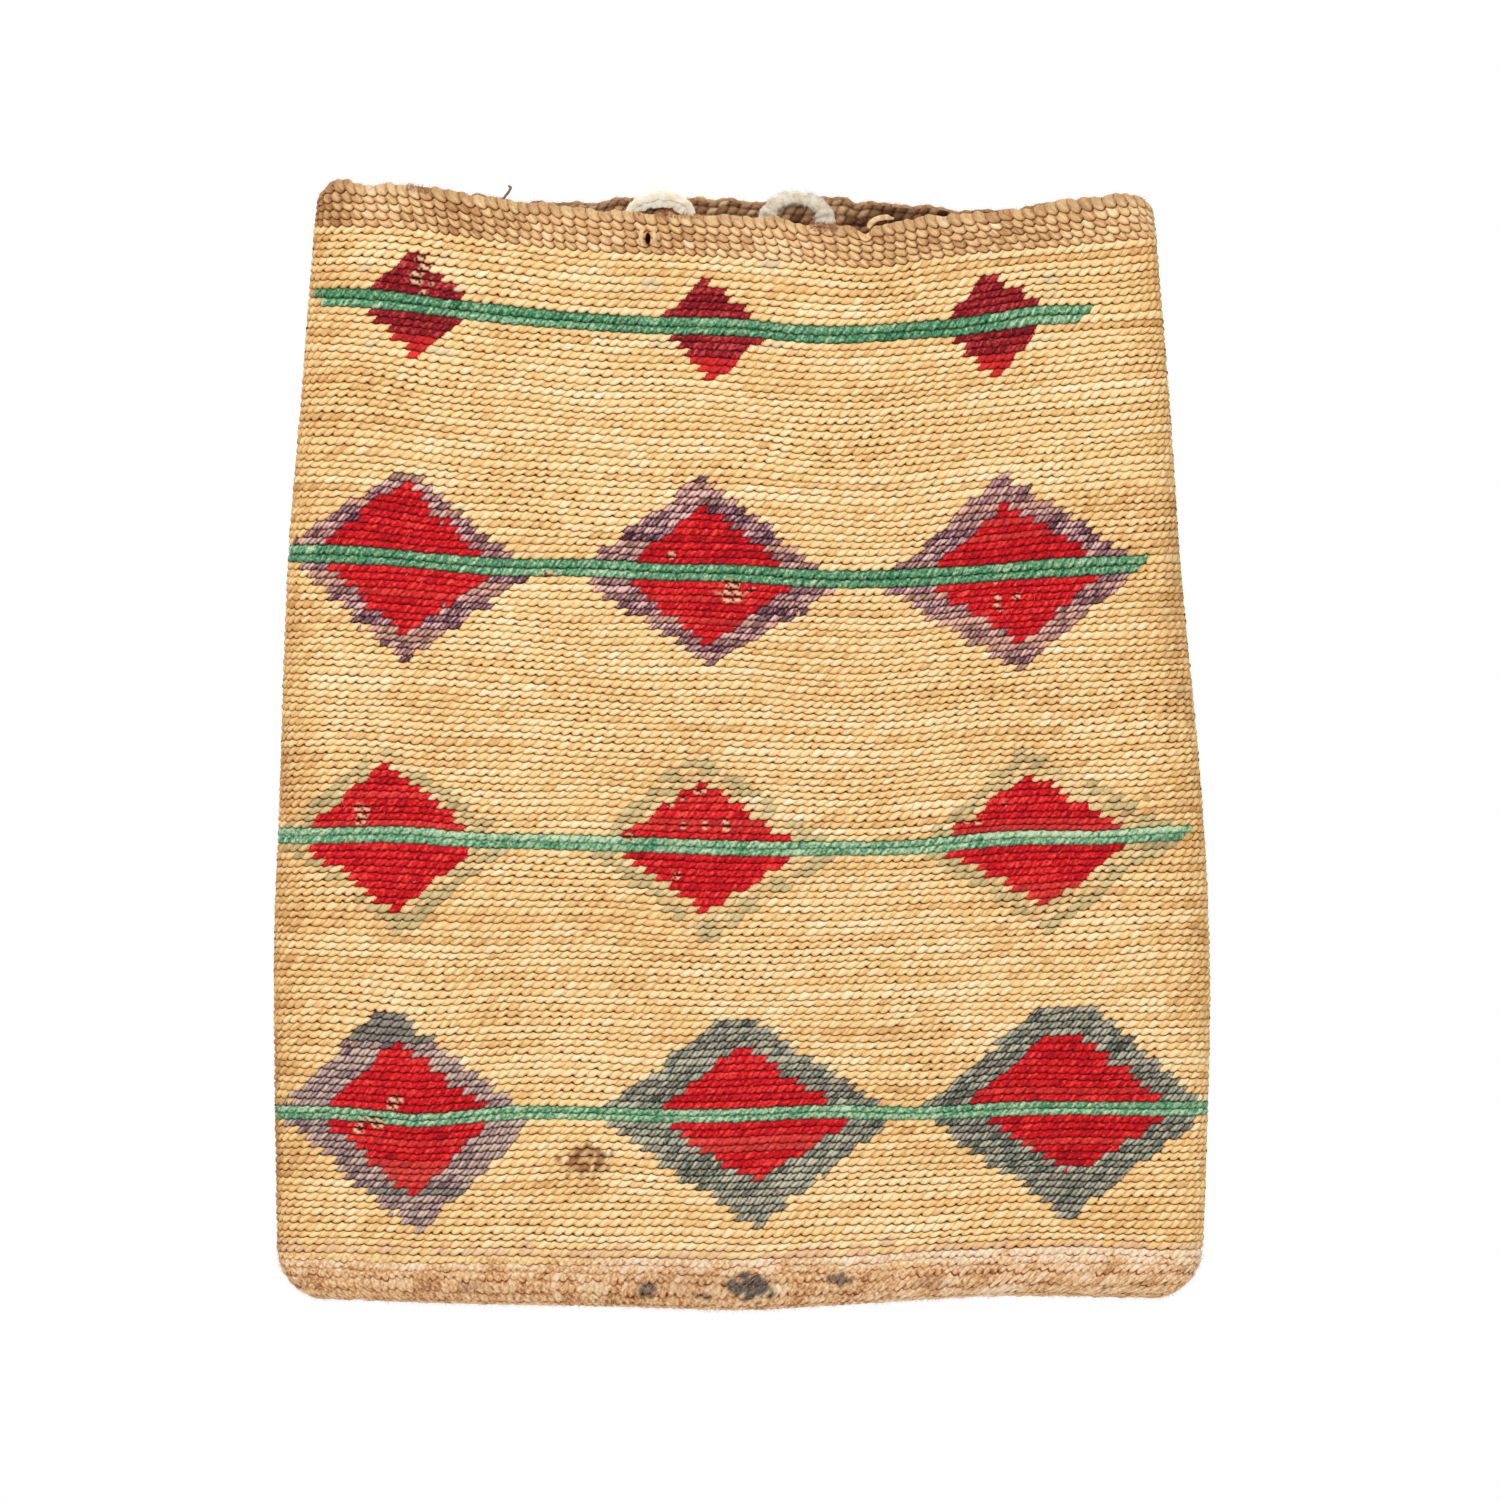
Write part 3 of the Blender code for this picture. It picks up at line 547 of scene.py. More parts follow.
    def marks(self, lift):
        """Worn wool, stains, soot, faded stitches and the slit, as surface data and as small dents."""
        x = self.world_x[self.course]
        z = self.world_z = bag_points(self.across[None], self.height, self.front, 0.001)[..., 2]
        for name in ("worn", "stain", "soot", "faded", "slit", "grain"):
            setattr(self, name, np.zeros(x.shape))
        if not self.front:
            return lift
        ragged = 0.5 * cloud(x, z, 0.004, 83)
        for place in WORN_SPOTS:
            share = 1.0 - spot_distance(x, z, *place) + ragged
            self.worn = np.maximum(self.worn, np.clip(3.0 * share, 0, 1))
        broad = np.clip(0.35 * cloud(x, z, 0.004, 81), -0.35, 0.5)
        fine = 0.30 * np.clip(cloud(x, z, 0.0026, 101), -1.0, 1.0)
        valley = bell(np.minimum(self.t, 1 - self.t)[:, None], 0.25)
        patchy = np.where(self.two > 0.50, 0.85, 0.50) + 0.40 * valley
        for *place, depth in STAINS:
            ragged, patches = (broad + fine, patchy) if depth > DEEP_STAIN else (broad, 1.0)
            share = np.clip(1.3 * (1.0 - spot_distance(x, z, *place) + ragged), 0, 1)
            self.stain = np.maximum(self.stain, np.clip(depth * patches * share, 0, 1))
        for place in FADED:
            share = np.clip(2.0 * (1.15 - spot_distance(x, z, *place)), 0, 1)
            self.faded = np.maximum(self.faded, share * (self.two > 0.3))
        ragged = 0.28 * cloud(x, z * 1.3, 0.0034, 86)
        for *place, depth in SOOT:
            share = np.clip(2.0 * (1.0 - spot_distance(x, z, *place) + ragged), 0, 1)
            self.soot = np.maximum(self.soot, depth * share)
        self.slit = np.clip(2.5 * (1.0 - spot_distance(x, z, *SLIT)), 0, 1)
        t = self.t[:, None]
        turned = self.f + (LEANS[self.style] + 0.9) * (t - 0.5)
        turned = turned - np.floor(turned)
        self.grain = np.clip(2.2 * (0.95 - (2 * turned - 1) ** 2 - (2 * t - 1) ** 2), 0, 1)
        return lift - SLIT_DEPTH * self.slit - WORN_DEPTH * self.worn * (1 - self.grain)

    def add_lip(self, lift):
        """Roll the surface over the rim and a little down the inner side."""
        turns = np.linspace(0, math.pi, 8)[1:]
        top = self.height[-1][None]
        outer = lift[-1][None]
        middle = (outer - SHELL_WALL - 0.0002) / 2
        radius = outer - middle
        bump = (1 + 0.10 * np.sin(2 * math.pi * self.stitch[-1]))[None]
        lips = middle + radius * np.cos(turns)[:, None]
        heights = top + LIP_DROP * bump * np.sin(turns)[:, None]
        rolled = bag_points(self.across[None], heights, self.front, lips)
        self.co = np.concatenate([self.co, rolled])
        count = len(turns)
        self.course = np.append(self.course, [COURSES - 1] * count)
        self.t = np.append(self.t, [0.5] * count)
        for name in ("k", "f", "code", "style", "height", "strand", "heat", "one", "two", "near", "ply",
                     "ply_tone", "worn", "stain", "soot", "faded", "slit", "grain", "is_green", "world_z"):
            values = getattr(self, name)
            setattr(self, name, np.concatenate([values, np.repeat(values[-1:], count, axis=0)]))
        self.lip = np.concatenate([np.zeros(len(self.co) - count), np.sin(turns / 2) ** 4])

    def normals(self):
        """Smooth normal at each point, out of the bag."""
        turned = unit(np.cross(np.gradient(self.co, axis=1), np.gradient(self.co, axis=0)))
        return turned if self.front else -turned

    def surface_data(self):
        """What the materials read at each point."""
        x, z = self.world_x[self.course], self.world_z
        at_mouth = (self.course == COURSES - 1) & (self.t > 0.5)
        t = np.where(at_mouth, 0.5, self.t)[:, None]
        edge = np.minimum(self.f, 1 - self.f)
        made = self.tones(x, z, t)
        gap = self.gaps(x, z, t, edge)
        woollen = (self.style == WOOL) | (self.style == BORDER)
        bare = 0.45 * cloud(x, z, 0.006, 99) + 0.5 * (self.two - 0.5) + (0.0158 - self.height) / 0.0030
        bare = np.clip(bare, 0, 0.8) * (self.style == HUSK) * self.front
        # gap also paints the slit dark as shade inside it, and paints shade round the husk grains of worn wool
        made["gap"] = np.clip(np.maximum(gap, 1.3 * self.slit), 0, 1)
        made["gap"] = np.maximum(made["gap"], 0.7 * self.worn * (1 - self.grain) * woollen)
        made["worn"] = np.maximum(self.worn * self.grain * woollen, bare)
        made["stain"], made["soot"] = self.stain, self.soot
        made["faded"] = self.faded * (self.style == HUSK)
        top = bell(BAG_HEIGHT - self.height, 0.0020) * (0.55 + 0.45 * self.two)
        made["aged"] = np.clip(np.maximum(1.2 * self.lip[:, None], 0.6 * top) * (self.style == RIM), 0, 1)
        made["fibre"] = fibre_space(x, self.height, ANGLES[self.style], self.two * 40.0)
        return made

    def tones(self, x, z, t):
        """Lightness of each kind of stitch, with painted highlights on the crowns of stitches and plies and
        painted shade at the side folds, and its share of the warm colour.
        """
        one, height = self.one, self.height
        patch = cloud(x, z, 0.055, 91 + self.front)
        # painted highlight along the crown of each ply, darker between the plies
        painted_ply_highlight = np.sin(math.pi * self.ply) - 0.6
        # painted highlight on each stitch's crown: lighter in its middle, darker towards its edges and the course
        # lines
        painted_stitch_highlight = np.sin(math.pi * t) * np.sin(math.pi * self.f) - 0.45
        # painted shade at the side folds, where the wall turns from the light: darker there, more on the left low
        # down and on the right high up
        fold = bell(1 - np.abs(self.across)[None], 0.10)
        share = height / BAG_HEIGHT
        painted_fold_shade = fold * np.where(self.across < 0, 1.1 - 0.6 * share, 0.25 + 0.45 * share)
        husk = 0.52 + 0.065 * self.strand + 0.06 * one + 0.04 * patch + 0.12 * painted_stitch_highlight
        husk += 0.07 * (self.two > 0.955) - 0.34 * painted_fold_shade
        fluff = cloud(x, z, 0.0014, 98, 12)
        wool = 0.47 + np.where(self.is_green, 0.03, 0.06) * self.ply_tone + 0.05 * self.strand + 0.06 * one
        wool += 0.13 * painted_ply_highlight + 0.12 * painted_stitch_highlight + 0.10 * fluff
        wool += (0.15 - 0.16 * ease((height - 0.10) / 0.17)) * self.is_green
        border = 0.50 + 0.14 * self.ply_tone + 0.10 * self.strand + 0.13 * one
        border += 0.44 * painted_ply_highlight + 0.14 * painted_stitch_highlight + 0.05 * fluff
        rim = 0.46 + 0.11 * one + 0.07 * patch + 0.16 * painted_stitch_highlight - 0.26 * ease((px_x(370) - x) / 0.008)
        foot = 0.57 + 0.08 * one + 0.08 * cloud(x, z, 0.010, 95) + 0.12 * cloud(x, z, 0.0013, 96, 12)
        foot += 0.10 * ease((x - px_x(840)) / 0.03) - 0.10 + 0.10 * painted_ply_highlight
        foot += 0.26 * ease((height - 0.0080) / 0.003) * ease((x - px_x(240)) / 0.030)
        golden = ease((height - 0.0102) / 0.001) * ease((px_x(620) - x + 0.004 * patch) / 0.020)
        # the fold term warms the painted fold shade; the rest is the husk's own warm stretches and patches
        warm = np.clip(0.30 * (self.heat - 0.9) + 0.12 * patch + 0.20 * fold, 0, 0.6)
        return {
            "tone": np.clip(np.choose(self.style, [husk, wool, border, rim, foot]), 0, 1),
            "warm": np.maximum(warm, golden * (self.style == FOOT)),
        }

    def gaps(self, x, z, t, edge):
        """How deep and dark each point lies between stitches, courses and plies: painted shade in the valleys,
        creases and pits, over the darker hemp core that shows there.
        """
        seam = bell(edge, 0.075)
        line = bell(t, 0.085) + bell(1 - t, 0.055)
        line = line * (0.85 + 0.22 * cloud(x, z, 0.007, 97) + 0.10 * self.course_tone[self.course][:, None])
        soft_line = bell(t, 0.13) + bell(1 - t, 0.09)
        holey = np.clip(0.75 + 0.55 * cloud(x, z, 0.028, 100), 0.25, 1.5)
        pit = holey * np.clip(1.8 * (0.75 - self.near), 0, 1) * bell(edge, 0.14) * bell(t, 0.21)
        between = bell(np.minimum(self.ply, 1 - self.ply), 0.18)
        husk = 0.60 * line + 0.95 * pit + 0.28 * bell(edge, 0.055) * (0.3 + self.two)
        wool = 0.50 * soft_line + 0.04 * between + 0.45 * pit + 0.12 * seam
        wool = wool * np.where(self.is_green & (self.height < 0.14), 0.6, 1.0)
        border = 0.60 * soft_line + 0.20 * between + 0.5 * pit + 0.30 * seam
        # rim: painted shadow under the lower edge and along the right flank of each overlapping scale, darkest at
        # the corner pit
        lobe = bell(t, 0.09) * (0.35 + 0.65 * ease(self.f / 0.6))
        flank = bell(1 - self.f, 0.06) * (1 - 0.4 * t) + 0.4 * bell(self.f, 0.04)
        corner = bell(1 - self.f, 0.13) * bell(t, 0.16)
        rim = 0.48 * lobe + 0.60 * flank + 0.85 * corner * (self.two > 0.25) + 0.10 * line
        foot = 0.74 * line * (0.4 + 0.9 * self.two) + 0.18 * bell(edge, 0.10) + 0.8 * pit
        return np.choose(self.style, [husk, wool, border, rim, foot])


# Places by photo pixels: column, row, half width and half height; stains and soot also have a depth
WORN_SPOTS = (
    (422, 273, 10, 20), (732, 592, 16, 12), (548, 575, 14, 3), (362, 813, 9, 10), (700, 790, 7, 4),
    (394, 1102, 8, 9), (373, 1120, 13, 6), (362, 1128, 7, 5), (672, 556, 5, 3),
    (684, 826, 3, 4), (706, 825, 3, 4), (727, 826, 4, 6), (671, 804, 3, 3), (683, 798, 3, 3), (677, 875, 4, 4),
    (996, 584, 4, 3), (998, 599, 4, 4), (998, 607, 5, 4), (1017, 597, 4, 4), (634, 838, 8, 4),
    (970, 821, 11, 3), (958, 813, 4, 3), (1004, 805, 3, 3),
)
STAINS = (
    (585, 1160, 27, 18, 1.0), (700, 1283, 80, 14, 0.22), (275, 1150, 7, 110, 0.5), (1172, 600, 12, 160, 0.18),
    (1183, 694, 9, 12, 0.40), (1188, 720, 6, 9, 0.30), (284, 760, 5, 60, 0.18),
    (1147, 797, 5, 4, 0.45), (1181, 800, 4, 5, 0.40), (1194, 930, 5, 8, 0.35),
)
DEEP_STAIN = 0.5
SLIT = (648, 239, 2.6, 6.5)
SLIT_DEPTH = 0.0016
WORN_DEPTH = 0.0004
FADED = (
    (447, 257, 10, 5), (455, 285, 10, 11), (368, 268, 13, 5), (434, 355, 22, 7), (661, 343, 14, 6),
    (770, 262, 12, 10), (650, 285, 12, 7), (1044, 345, 24, 8), (1050, 285, 10, 12), (770, 345, 14, 6), (372, 345, 10, 6),
)
SOOT = (
    (646, 1290, 12, 9, 0.9), (750, 1287, 27, 15, 1.0), (838, 1279, 15, 8, 0.85), (704, 1297, 8, 4, 0.7),
    (470, 1285, 15, 5, 0.3), (930, 1283, 20, 5, 0.3),
)


class Graph:
    """Short way to write the nodes of a material or of the world."""

    def __init__(self, name, owner=None):
        self.material = owner or bpy.data.materials.new(name)
        self.material.use_nodes = True
        self.tree = self.material.node_tree
        self.shader = self.tree.nodes.get("Principled BSDF")

    def add(self, kind, values=None, **settings):
        """Node with its settings, and with each named input set or linked."""
        node = self.tree.nodes.new(kind)
        for key, value in settings.items():
            setattr(node, key, value)
        self.fill(node, values or {})
        return node

    def fill(self, node, values):
        """Set or link a node's inputs."""
        for key, value in values.items():
            socket = node.inputs[key]
            if isinstance(value, bpy.types.NodeSocket):
                self.tree.links.new(value, socket)
            else:
                socket.default_value = value

    def read(self, name):
        """Number that the mesh holds at each point."""
        return self.add("ShaderNodeAttribute", attribute_name=name).outputs["Fac"]

    def math(self, operation, a, b, clamp=False):
        """Two values combined."""
        return self.add("ShaderNodeMath", {0: a, 1: b}, operation=operation, use_clamp=clamp).outputs[0]

    def noise(self, vector, stretch, scale, detail=3.0, roughness=0.6):
        """Noise drawn out along the vector's first axis."""
        moved = self.add("ShaderNodeVectorMath", {0: vector, 1: stretch}, operation="MULTIPLY").outputs[0]
        values = {"Vector": moved, "Scale": scale, "Detail": detail, "Roughness": roughness}
        return self.add("ShaderNodeTexNoise", values).outputs["Fac"]

    def ramp(self, value, stops):
        """Colour by value, from (place, colour) stops."""
        node = self.add("ShaderNodeValToRGB", {"Fac": value})
        elements = node.color_ramp.elements
        while len(elements) < len(stops):
            elements.new(0.5)
        for element, (place, colour) in zip(elements, stops):
            element.position = place
            element.color = (*linear(*colour), 1.0)
        return node.outputs["Color"]

    def mix(self, share, a, b, blend="MIX"):
        """Two colours mixed or multiplied."""
        node = self.add("ShaderNodeMix", data_type="RGBA", blend_type=blend)
        for socket, value in ((node.inputs[0], share), (node.inputs[6], a), (node.inputs[7], b)):
            if isinstance(value, bpy.types.NodeSocket):
                self.tree.links.new(value, socket)
            else:
                socket.default_value = value if socket == node.inputs[0] else (*linear(*value), 1.0)
        return node.outputs[2]

    def bump(self, height, distance, strength=1.0, normal=None):
        """Normal from a height."""
        values = {"Height": height, "Distance": distance, "Strength": strength}
        if normal is not None:
            values["Normal"] = normal
        return self.add("ShaderNodeBump", values).outputs["Normal"]

    def seen(self):
        """1 for rays of the camera, off glossy surfaces and through clear ones, 0 for the rest."""
        rays = self.add("ShaderNodeLightPath").outputs
        also = self.math("MAXIMUM", rays["Is Glossy Ray"], rays["Is Transmission Ray"])
        return self.math("MAXIMUM", rays["Is Camera Ray"], also)

    def done(self, colour, normal, rough, specular=0.5):
        """The material, with its colour, relief and gloss."""
        self.fill(self.shader, {"Base Color": colour, "Normal": normal, "Roughness": rough})
        self.fill(self.shader, {"Specular IOR Level": specular})
        return self.material


WHITE = (255, 255, 255)


def linear(red, green, blue):
    """Scene colour of a screen colour given as 0 to 255."""
    parts = [value / 255 for value in (red, green, blue)]
    return tuple(p / 12.92 if p <= 0.04045 else ((p + 0.055) / 1.055) ** 2.4 for p in parts)


def woven(name, stops, warm, line=((158, 100, 60), (56, 26, 12)), rough=(0.62, 0.85), streak=1.15, fuzz=0.0,
          fleck=None):
    """Material of a woven piece: strand tone, fibre streaks, seams between stitches darkened with painted shade
    and the hemp core, wear and stains.
    """
    g = Graph(name)
    fibre = g.add("ShaderNodeAttribute", attribute_name="fibre").outputs["Vector"]
    broad = g.noise(fibre, (0.12, 1.2, 1.0), 1.0, 2.0, 0.5)
    fine = g.noise(fibre, (0.30, 1.9, 1.0), 1.0, 4.0, 0.7)
    value = g.math("MULTIPLY_ADD", fine, streak)
    value.node.inputs[2].default_value = -streak / 2
    value = g.math("ADD", value, g.math("MULTIPLY", g.math("SUBTRACT", broad, 0.5), 0.6))
    if fuzz:
        place = g.add("ShaderNodeTexCoord").outputs["Object"]
        tufts = g.noise(place, (1.0, 1.0, 1.0), 1300.0, 2.0, 0.6)
        value = g.math("ADD", value, g.math("MULTIPLY", g.math("SUBTRACT", tufts, 0.5), 1.3 * fuzz))
    value = g.math("ADD", value, g.read("tone"), True)
    colour = g.ramp(value, tuple(zip((0.05, 0.5, 0.95), stops)))
    deep, bright = ([min(255, part * share) for part in warm] for share in (0.76, 1.12))
    glow = g.ramp(value, ((0.15, deep), (0.5, warm), (0.85, bright)))
    colour = g.mix(g.math("MULTIPLY", g.read("warm"), 0.85), colour, glow)
    if fleck:
        specks = g.noise(fibre, (0.5, 1.6, 1.0), 1.0, 2.0, 0.5)
        share = g.math("MULTIPLY", g.math("SUBTRACT", specks, 0.58), 9.0, True)
        colour = g.mix(g.math("MULTIPLY", share, 0.6), colour, fleck)
    grain = g.ramp(fine, ((0.25, (206, 152, 108)), (0.75, (252, 220, 178))))
    rust = g.ramp(fine, ((0.36, (72, 28, 10)), (0.62, (172, 104, 54))))
    ash = g.ramp(fine, ((0.38, (30, 32, 34)), (0.68, (126, 120, 112))))
    for mark, share, over in (
        ("worn", 1.0, grain), ("aged", 0.75, (134, 92, 62)), ("faded", 0.75, (222, 206, 166)),
        ("stain", 0.92, rust), ("soot", 0.92, ash),
    ):
        colour = g.mix(g.math("MULTIPLY", g.read(mark), share), colour, over)
    # seams and pits: painted shade together with the dark hemp core, multiplied over the colour
    seam = g.ramp(g.read("gap"), ((0.0, WHITE), (0.55, line[0]), (1.0, line[1])))
    colour = g.mix(1.0, colour, seam, "MULTIPLY")
    roughness = g.math("MULTIPLY_ADD", fine, rough[1] - rough[0])
    roughness.node.inputs[2].default_value = rough[0]
    normal = g.bump(fine, 0.00012, 0.55)
    if fuzz:
        nap = g.noise(place, (1.0, 1.0, 1.0), 2600.0, 4.0, 0.7)
        normal = g.bump(nap, 0.00016, fuzz, normal)
        g.fill(g.shader, {"Sheen Weight": 0.06, "Sheen Roughness": 0.6})
    return g.done(colour, normal, roughness, 0.12 if fuzz else 0.22)


STUFFS = {
    "husk": woven("golden_husk", ((206, 150, 84), (250, 212, 147), (255, 244, 206)), (240, 184, 112)),
    "rim": woven("plain_twining", ((170, 118, 70), (230, 188, 132), (252, 226, 182)), (216, 156, 98),
                 streak=1.4),
    "foot": woven("foot_twining", ((166, 106, 62), (238, 192, 138), (255, 236, 206)), (242, 198, 134),
                  ((176, 118, 78), (84, 44, 24)), (0.75, 0.95), 0.8, 0.9),
    "green": woven("green_wool", ((10, 88, 56), (90, 156, 112), (204, 228, 188)), (70, 140, 100),
                   ((112, 134, 104), (26, 42, 28)), (0.8, 0.95), 0.5, 1.0, (196, 190, 160)),
    "red": woven("red_wool", ((146, 0, 12), (222, 20, 32), (255, 84, 74)), (226, 80, 68),
                 ((170, 60, 50), (66, 12, 10)), (0.8, 0.95), 0.5, 0.8),
    "maroon": woven("maroon_wool", ((84, 4, 14), (156, 22, 34), (214, 84, 80)), (226, 44, 44),
                    ((160, 96, 84), (50, 20, 16)), (0.8, 0.95), 0.5, 0.8),
    "purple": woven("purple_wool", ((68, 38, 54), (152, 103, 118), (244, 204, 196)), (218, 168, 144),
                    ((150, 112, 96), (44, 28, 24)), (0.8, 0.95), 0.6, 0.8, (236, 200, 174)),
    "olive": woven("olive_wool", ((196, 150, 88), (244, 206, 146), (255, 240, 200)), (194, 180, 128),
                   ((158, 106, 66), (54, 28, 14)), (0.8, 0.95), 0.9, 0.3, (206, 188, 134)),
    "lilac": woven("lilac_wool", ((118, 94, 102), (188, 158, 154), (232, 206, 190)), (122, 126, 116),
                   ((140, 112, 92), (44, 32, 26)), (0.8, 0.95), 0.7, 0.8, (236, 208, 178)),
    "slate": woven("slate_wool", ((76, 82, 74), (144, 148, 133), (208, 206, 182)), (166, 152, 144),
                   ((132, 112, 90), (38, 32, 24)), (0.8, 0.95), 0.6, 0.8, (224, 206, 172)),
}


def stuff_of(name):
    """Which stuff a piece of the weave is made of."""
    if name.startswith("green"):
        return "green"
    if name.startswith("diamond"):
        return "maroon" if "row1" in name else "red"
    if name.startswith("border"):
        if "row4" in name:
            return "lilac" if "left" in name else "slate"
        return "purple" if "row2" in name else "olive"
    return name if name in BANDS else "husk"


def link(item):
    """The object, added to the scene."""
    bpy.context.scene.collection.objects.link(item)
    return item


def add_mesh(name, co, faces, material, normals=None, maps=None, data=None):
    """Object from arrays of points and of four-cornered faces."""
    mesh = bpy.data.meshes.new(name)
    mesh.vertices.add(len(co))
    mesh.vertices.foreach_set("co", co.astype(np.float32).ravel())
    mesh.loops.add(faces.size)
    mesh.loops.foreach_set("vertex_index", faces.astype(np.int32).ravel())
    mesh.polygons.add(len(faces))
    mesh.polygons.foreach_set("loop_start", np.arange(0, faces.size, faces.shape[1], dtype=np.int32))
    mesh.polygons.foreach_set("use_smooth", np.ones(len(faces), bool))
    mesh.update(calc_edges=True)
    if maps is not None:
        layer = mesh.uv_layers.new(name="OFBake")
        layer.uv.foreach_set("vector", maps[faces.ravel()].astype(np.float32).ravel())
    for key, values in (data or {}).items():
        kind, field = ("FLOAT_VECTOR", "vector") if values.ndim > 1 else ("FLOAT", "value")
        made = mesh.attributes.new(key, kind, "POINT")
        made.data.foreach_set(field, values.astype(np.float32).ravel())
    if normals is not None:
        mesh.normals_split_custom_set_from_vertices(normals.astype(np.float32))
    mesh.materials.append(material)
    return link(bpy.data.objects.new(name, mesh))


def cut_piece(weave, data, name, mask, node, stuff):
    """Piece of a weave: the faces of a mask, standing for a node of the part."""
    rows, columns = np.nonzero(mask)
    width = weave.co.shape[1]
    low = rows * width + columns
    faces = np.stack([low, low + 1, low + width + 1, low + width], axis=1)
    if not weave.front:
        faces = faces[:, ::-1]
    used, inverse = np.unique(faces, return_inverse=True)
    row, column = used // width, used % width
    span_u = max(int(column.max() - column.min()), 1)
    span_v = max(int(row.max() - row.min()), 1)
    maps = np.stack([(column - column.min()) / span_u, (row - row.min()) / span_v], axis=1)
    if not weave.front:
        maps[:, 0] = 1 - maps[:, 0]
    own = {}
    for key, values in data.items():
        own[key] = values.reshape(-1, 3)[used] if values.ndim > 2 else values.ravel()[used]
    item = add_mesh(
        name, weave.co.reshape(-1, 3)[used], inverse.reshape(faces.shape), STUFFS[stuff],
        weave.normal.reshape(-1, 3)[used], maps, own)
    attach(item, "bag")
    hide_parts(node)
    return item


# Lighter scarlet courses of the red diamonds, counted from the stripe
SCARLET = {
    (2, "middle", "lower"): {2: 0.3, 5: 0.4}, (2, "right", "upper"): {3: 0.4, 5: 0.5},
    (2, "left", "lower"): {3: 0.3},
    (3, "left", "upper"): {0: 0.4, 4: 0.3}, (3, "middle", "upper"): {1: 0.4, 2: 0.5, 5: 0.4},
    (3, "right", "upper"): {0: 0.5, 1: 0.3}, (3, "right", "lower"): {5: 0.4, 6: 0.5, 7: 0.4},
    (4, "left", "lower"): {2: 0.3, 5: 0.6, 6: 0.9, 7: 0.9, 8: 0.5},
    (4, "middle", "lower"): {2: 0.6, 3: 0.7, 7: 0.8, 8: 0.8},
    (4, "right", "upper"): {1: 0.35}, (4, "right", "lower"): {3: 0.4},
}


def warm_courses(weave, data):
    """Redder lower courses of the first row, lighter ones in the others, and the borders' second colour."""
    rng = np.random.default_rng(77)
    for number in range(COURSES):
        for _, _, name in weave.plan[number]:
            if name.startswith("green"):
                continue
            row = int(name.split("row")[1][0])
            stripe = f"stripe_{row}"
            lower = name.endswith("lower")
            away = first_course(stripe) - 1 - number if lower else number - last_course(stripe) - 1
            chosen = (weave.course[:, None] == number) & (weave.code == weave.index[name])
            if name.startswith("border"):
                value = rng.choice([0.0, 0.3, 0.8], p=[0.5, 0.3, 0.2]) * (0.5 if row == 4 else 1.0)
                if row == 4 and "left" in name:
                    value = 1.0 if away in ((9,) if lower else (9, 10, 11, 12)) else 0.10
                if row == 3:
                    low, high = next(stretch[:2] for stretch in weave.plan[number] if stretch[2] == name)
                    x = weave.world_x[weave.course]
                    outer = np.minimum(x - low, high - x)
                    value = np.where(outer < (0.0050 if away % 3 else 0.0085), 0.90, 0.30) * (weave.two > 0.30)
            elif row == 1:
                value = 1.0 if lower and away >= 3 else 0.0
            else:
                value = SCARLET.get((row, name.split("_")[2], name.split("_")[3]), {}).get(away, 0.0)
                if row == 2 and not lower:
                    data["tone"] = np.where(chosen, data["tone"] - 0.07, data["tone"])
            if row == 4 and "right" in name:
                data["tone"] = np.where(chosen, data["tone"] - 0.06, data["tone"])
            # the third row's borders get deeper seam darkening: more painted shade and dark core
            if row == 3 and name.startswith("border"):
                data["gap"] = np.where(chosen, np.clip(1.35 * data["gap"], 0, 1), data["gap"])
            data["warm"] = np.where(chosen, value, data["warm"])
    upper = (weave.course == last_course("stripe_3"))[:, None] & weave.is_green
    pale = 0.20 * ease((weave.world_x[weave.course] - px_x(965)) / 0.006) + 0.05
    data["tone"] = np.clip(np.where(upper, data["tone"] + pale, data["tone"]), 0, 1)


def cut_field(weave, data, prefix, name, node):
    """A field of husk, in two halves where it is tall."""
    mask = weave.code[:-1, :-1] == weave.index[name]
    if name in ("upper", "middle", "lower"):
        right = (np.arange(mask.shape[1]) >= mask.shape[1] // 2)[None]
        cut_piece(weave, data, f"{prefix}_{name}_left", mask & ~right, node, "husk")
        cut_piece(weave, data, f"{prefix}_{name}_right", mask & right, node, "husk")
    else:
        cut_piece(weave, data, f"{prefix}_{name}", mask, node, "husk")


def make_front():
    """Front of the bag, piece by piece."""
    weave = Weave(True, FINE_STEP, ROWS, 11)
    data = weave.surface_data()
    warm_courses(weave, data)
    for name, number in weave.index.items():
        mask = weave.code[:-1, :-1] == number
        if name in FIELDS:
            cut_field(weave, data, "weave", name, f"husk_field_{name}")
        elif name in BANDS:
            cut_piece(weave, data, f"{BANDS[name]}_front", mask, BANDS[name], name)
        else:
            cut_piece(weave, data, f"wool_{name}", mask, name, stuff_of(name))
    return weave


def make_back():
    """Back of the bag, in bands."""
    weave = Weave(False, BACK_STEP, BACK_ROWS, 23)
    data = weave.surface_data()
    for name, node in BANDS.items():
        cut_piece(weave, data, f"{node}_back", weave.code[:-1, :-1] == weave.index[name], node, name)
    for name in FIELDS:
        cut_field(weave, data, "back", name, "husk_back")
    return weave


FRONT = make_front()
BACK = make_back()


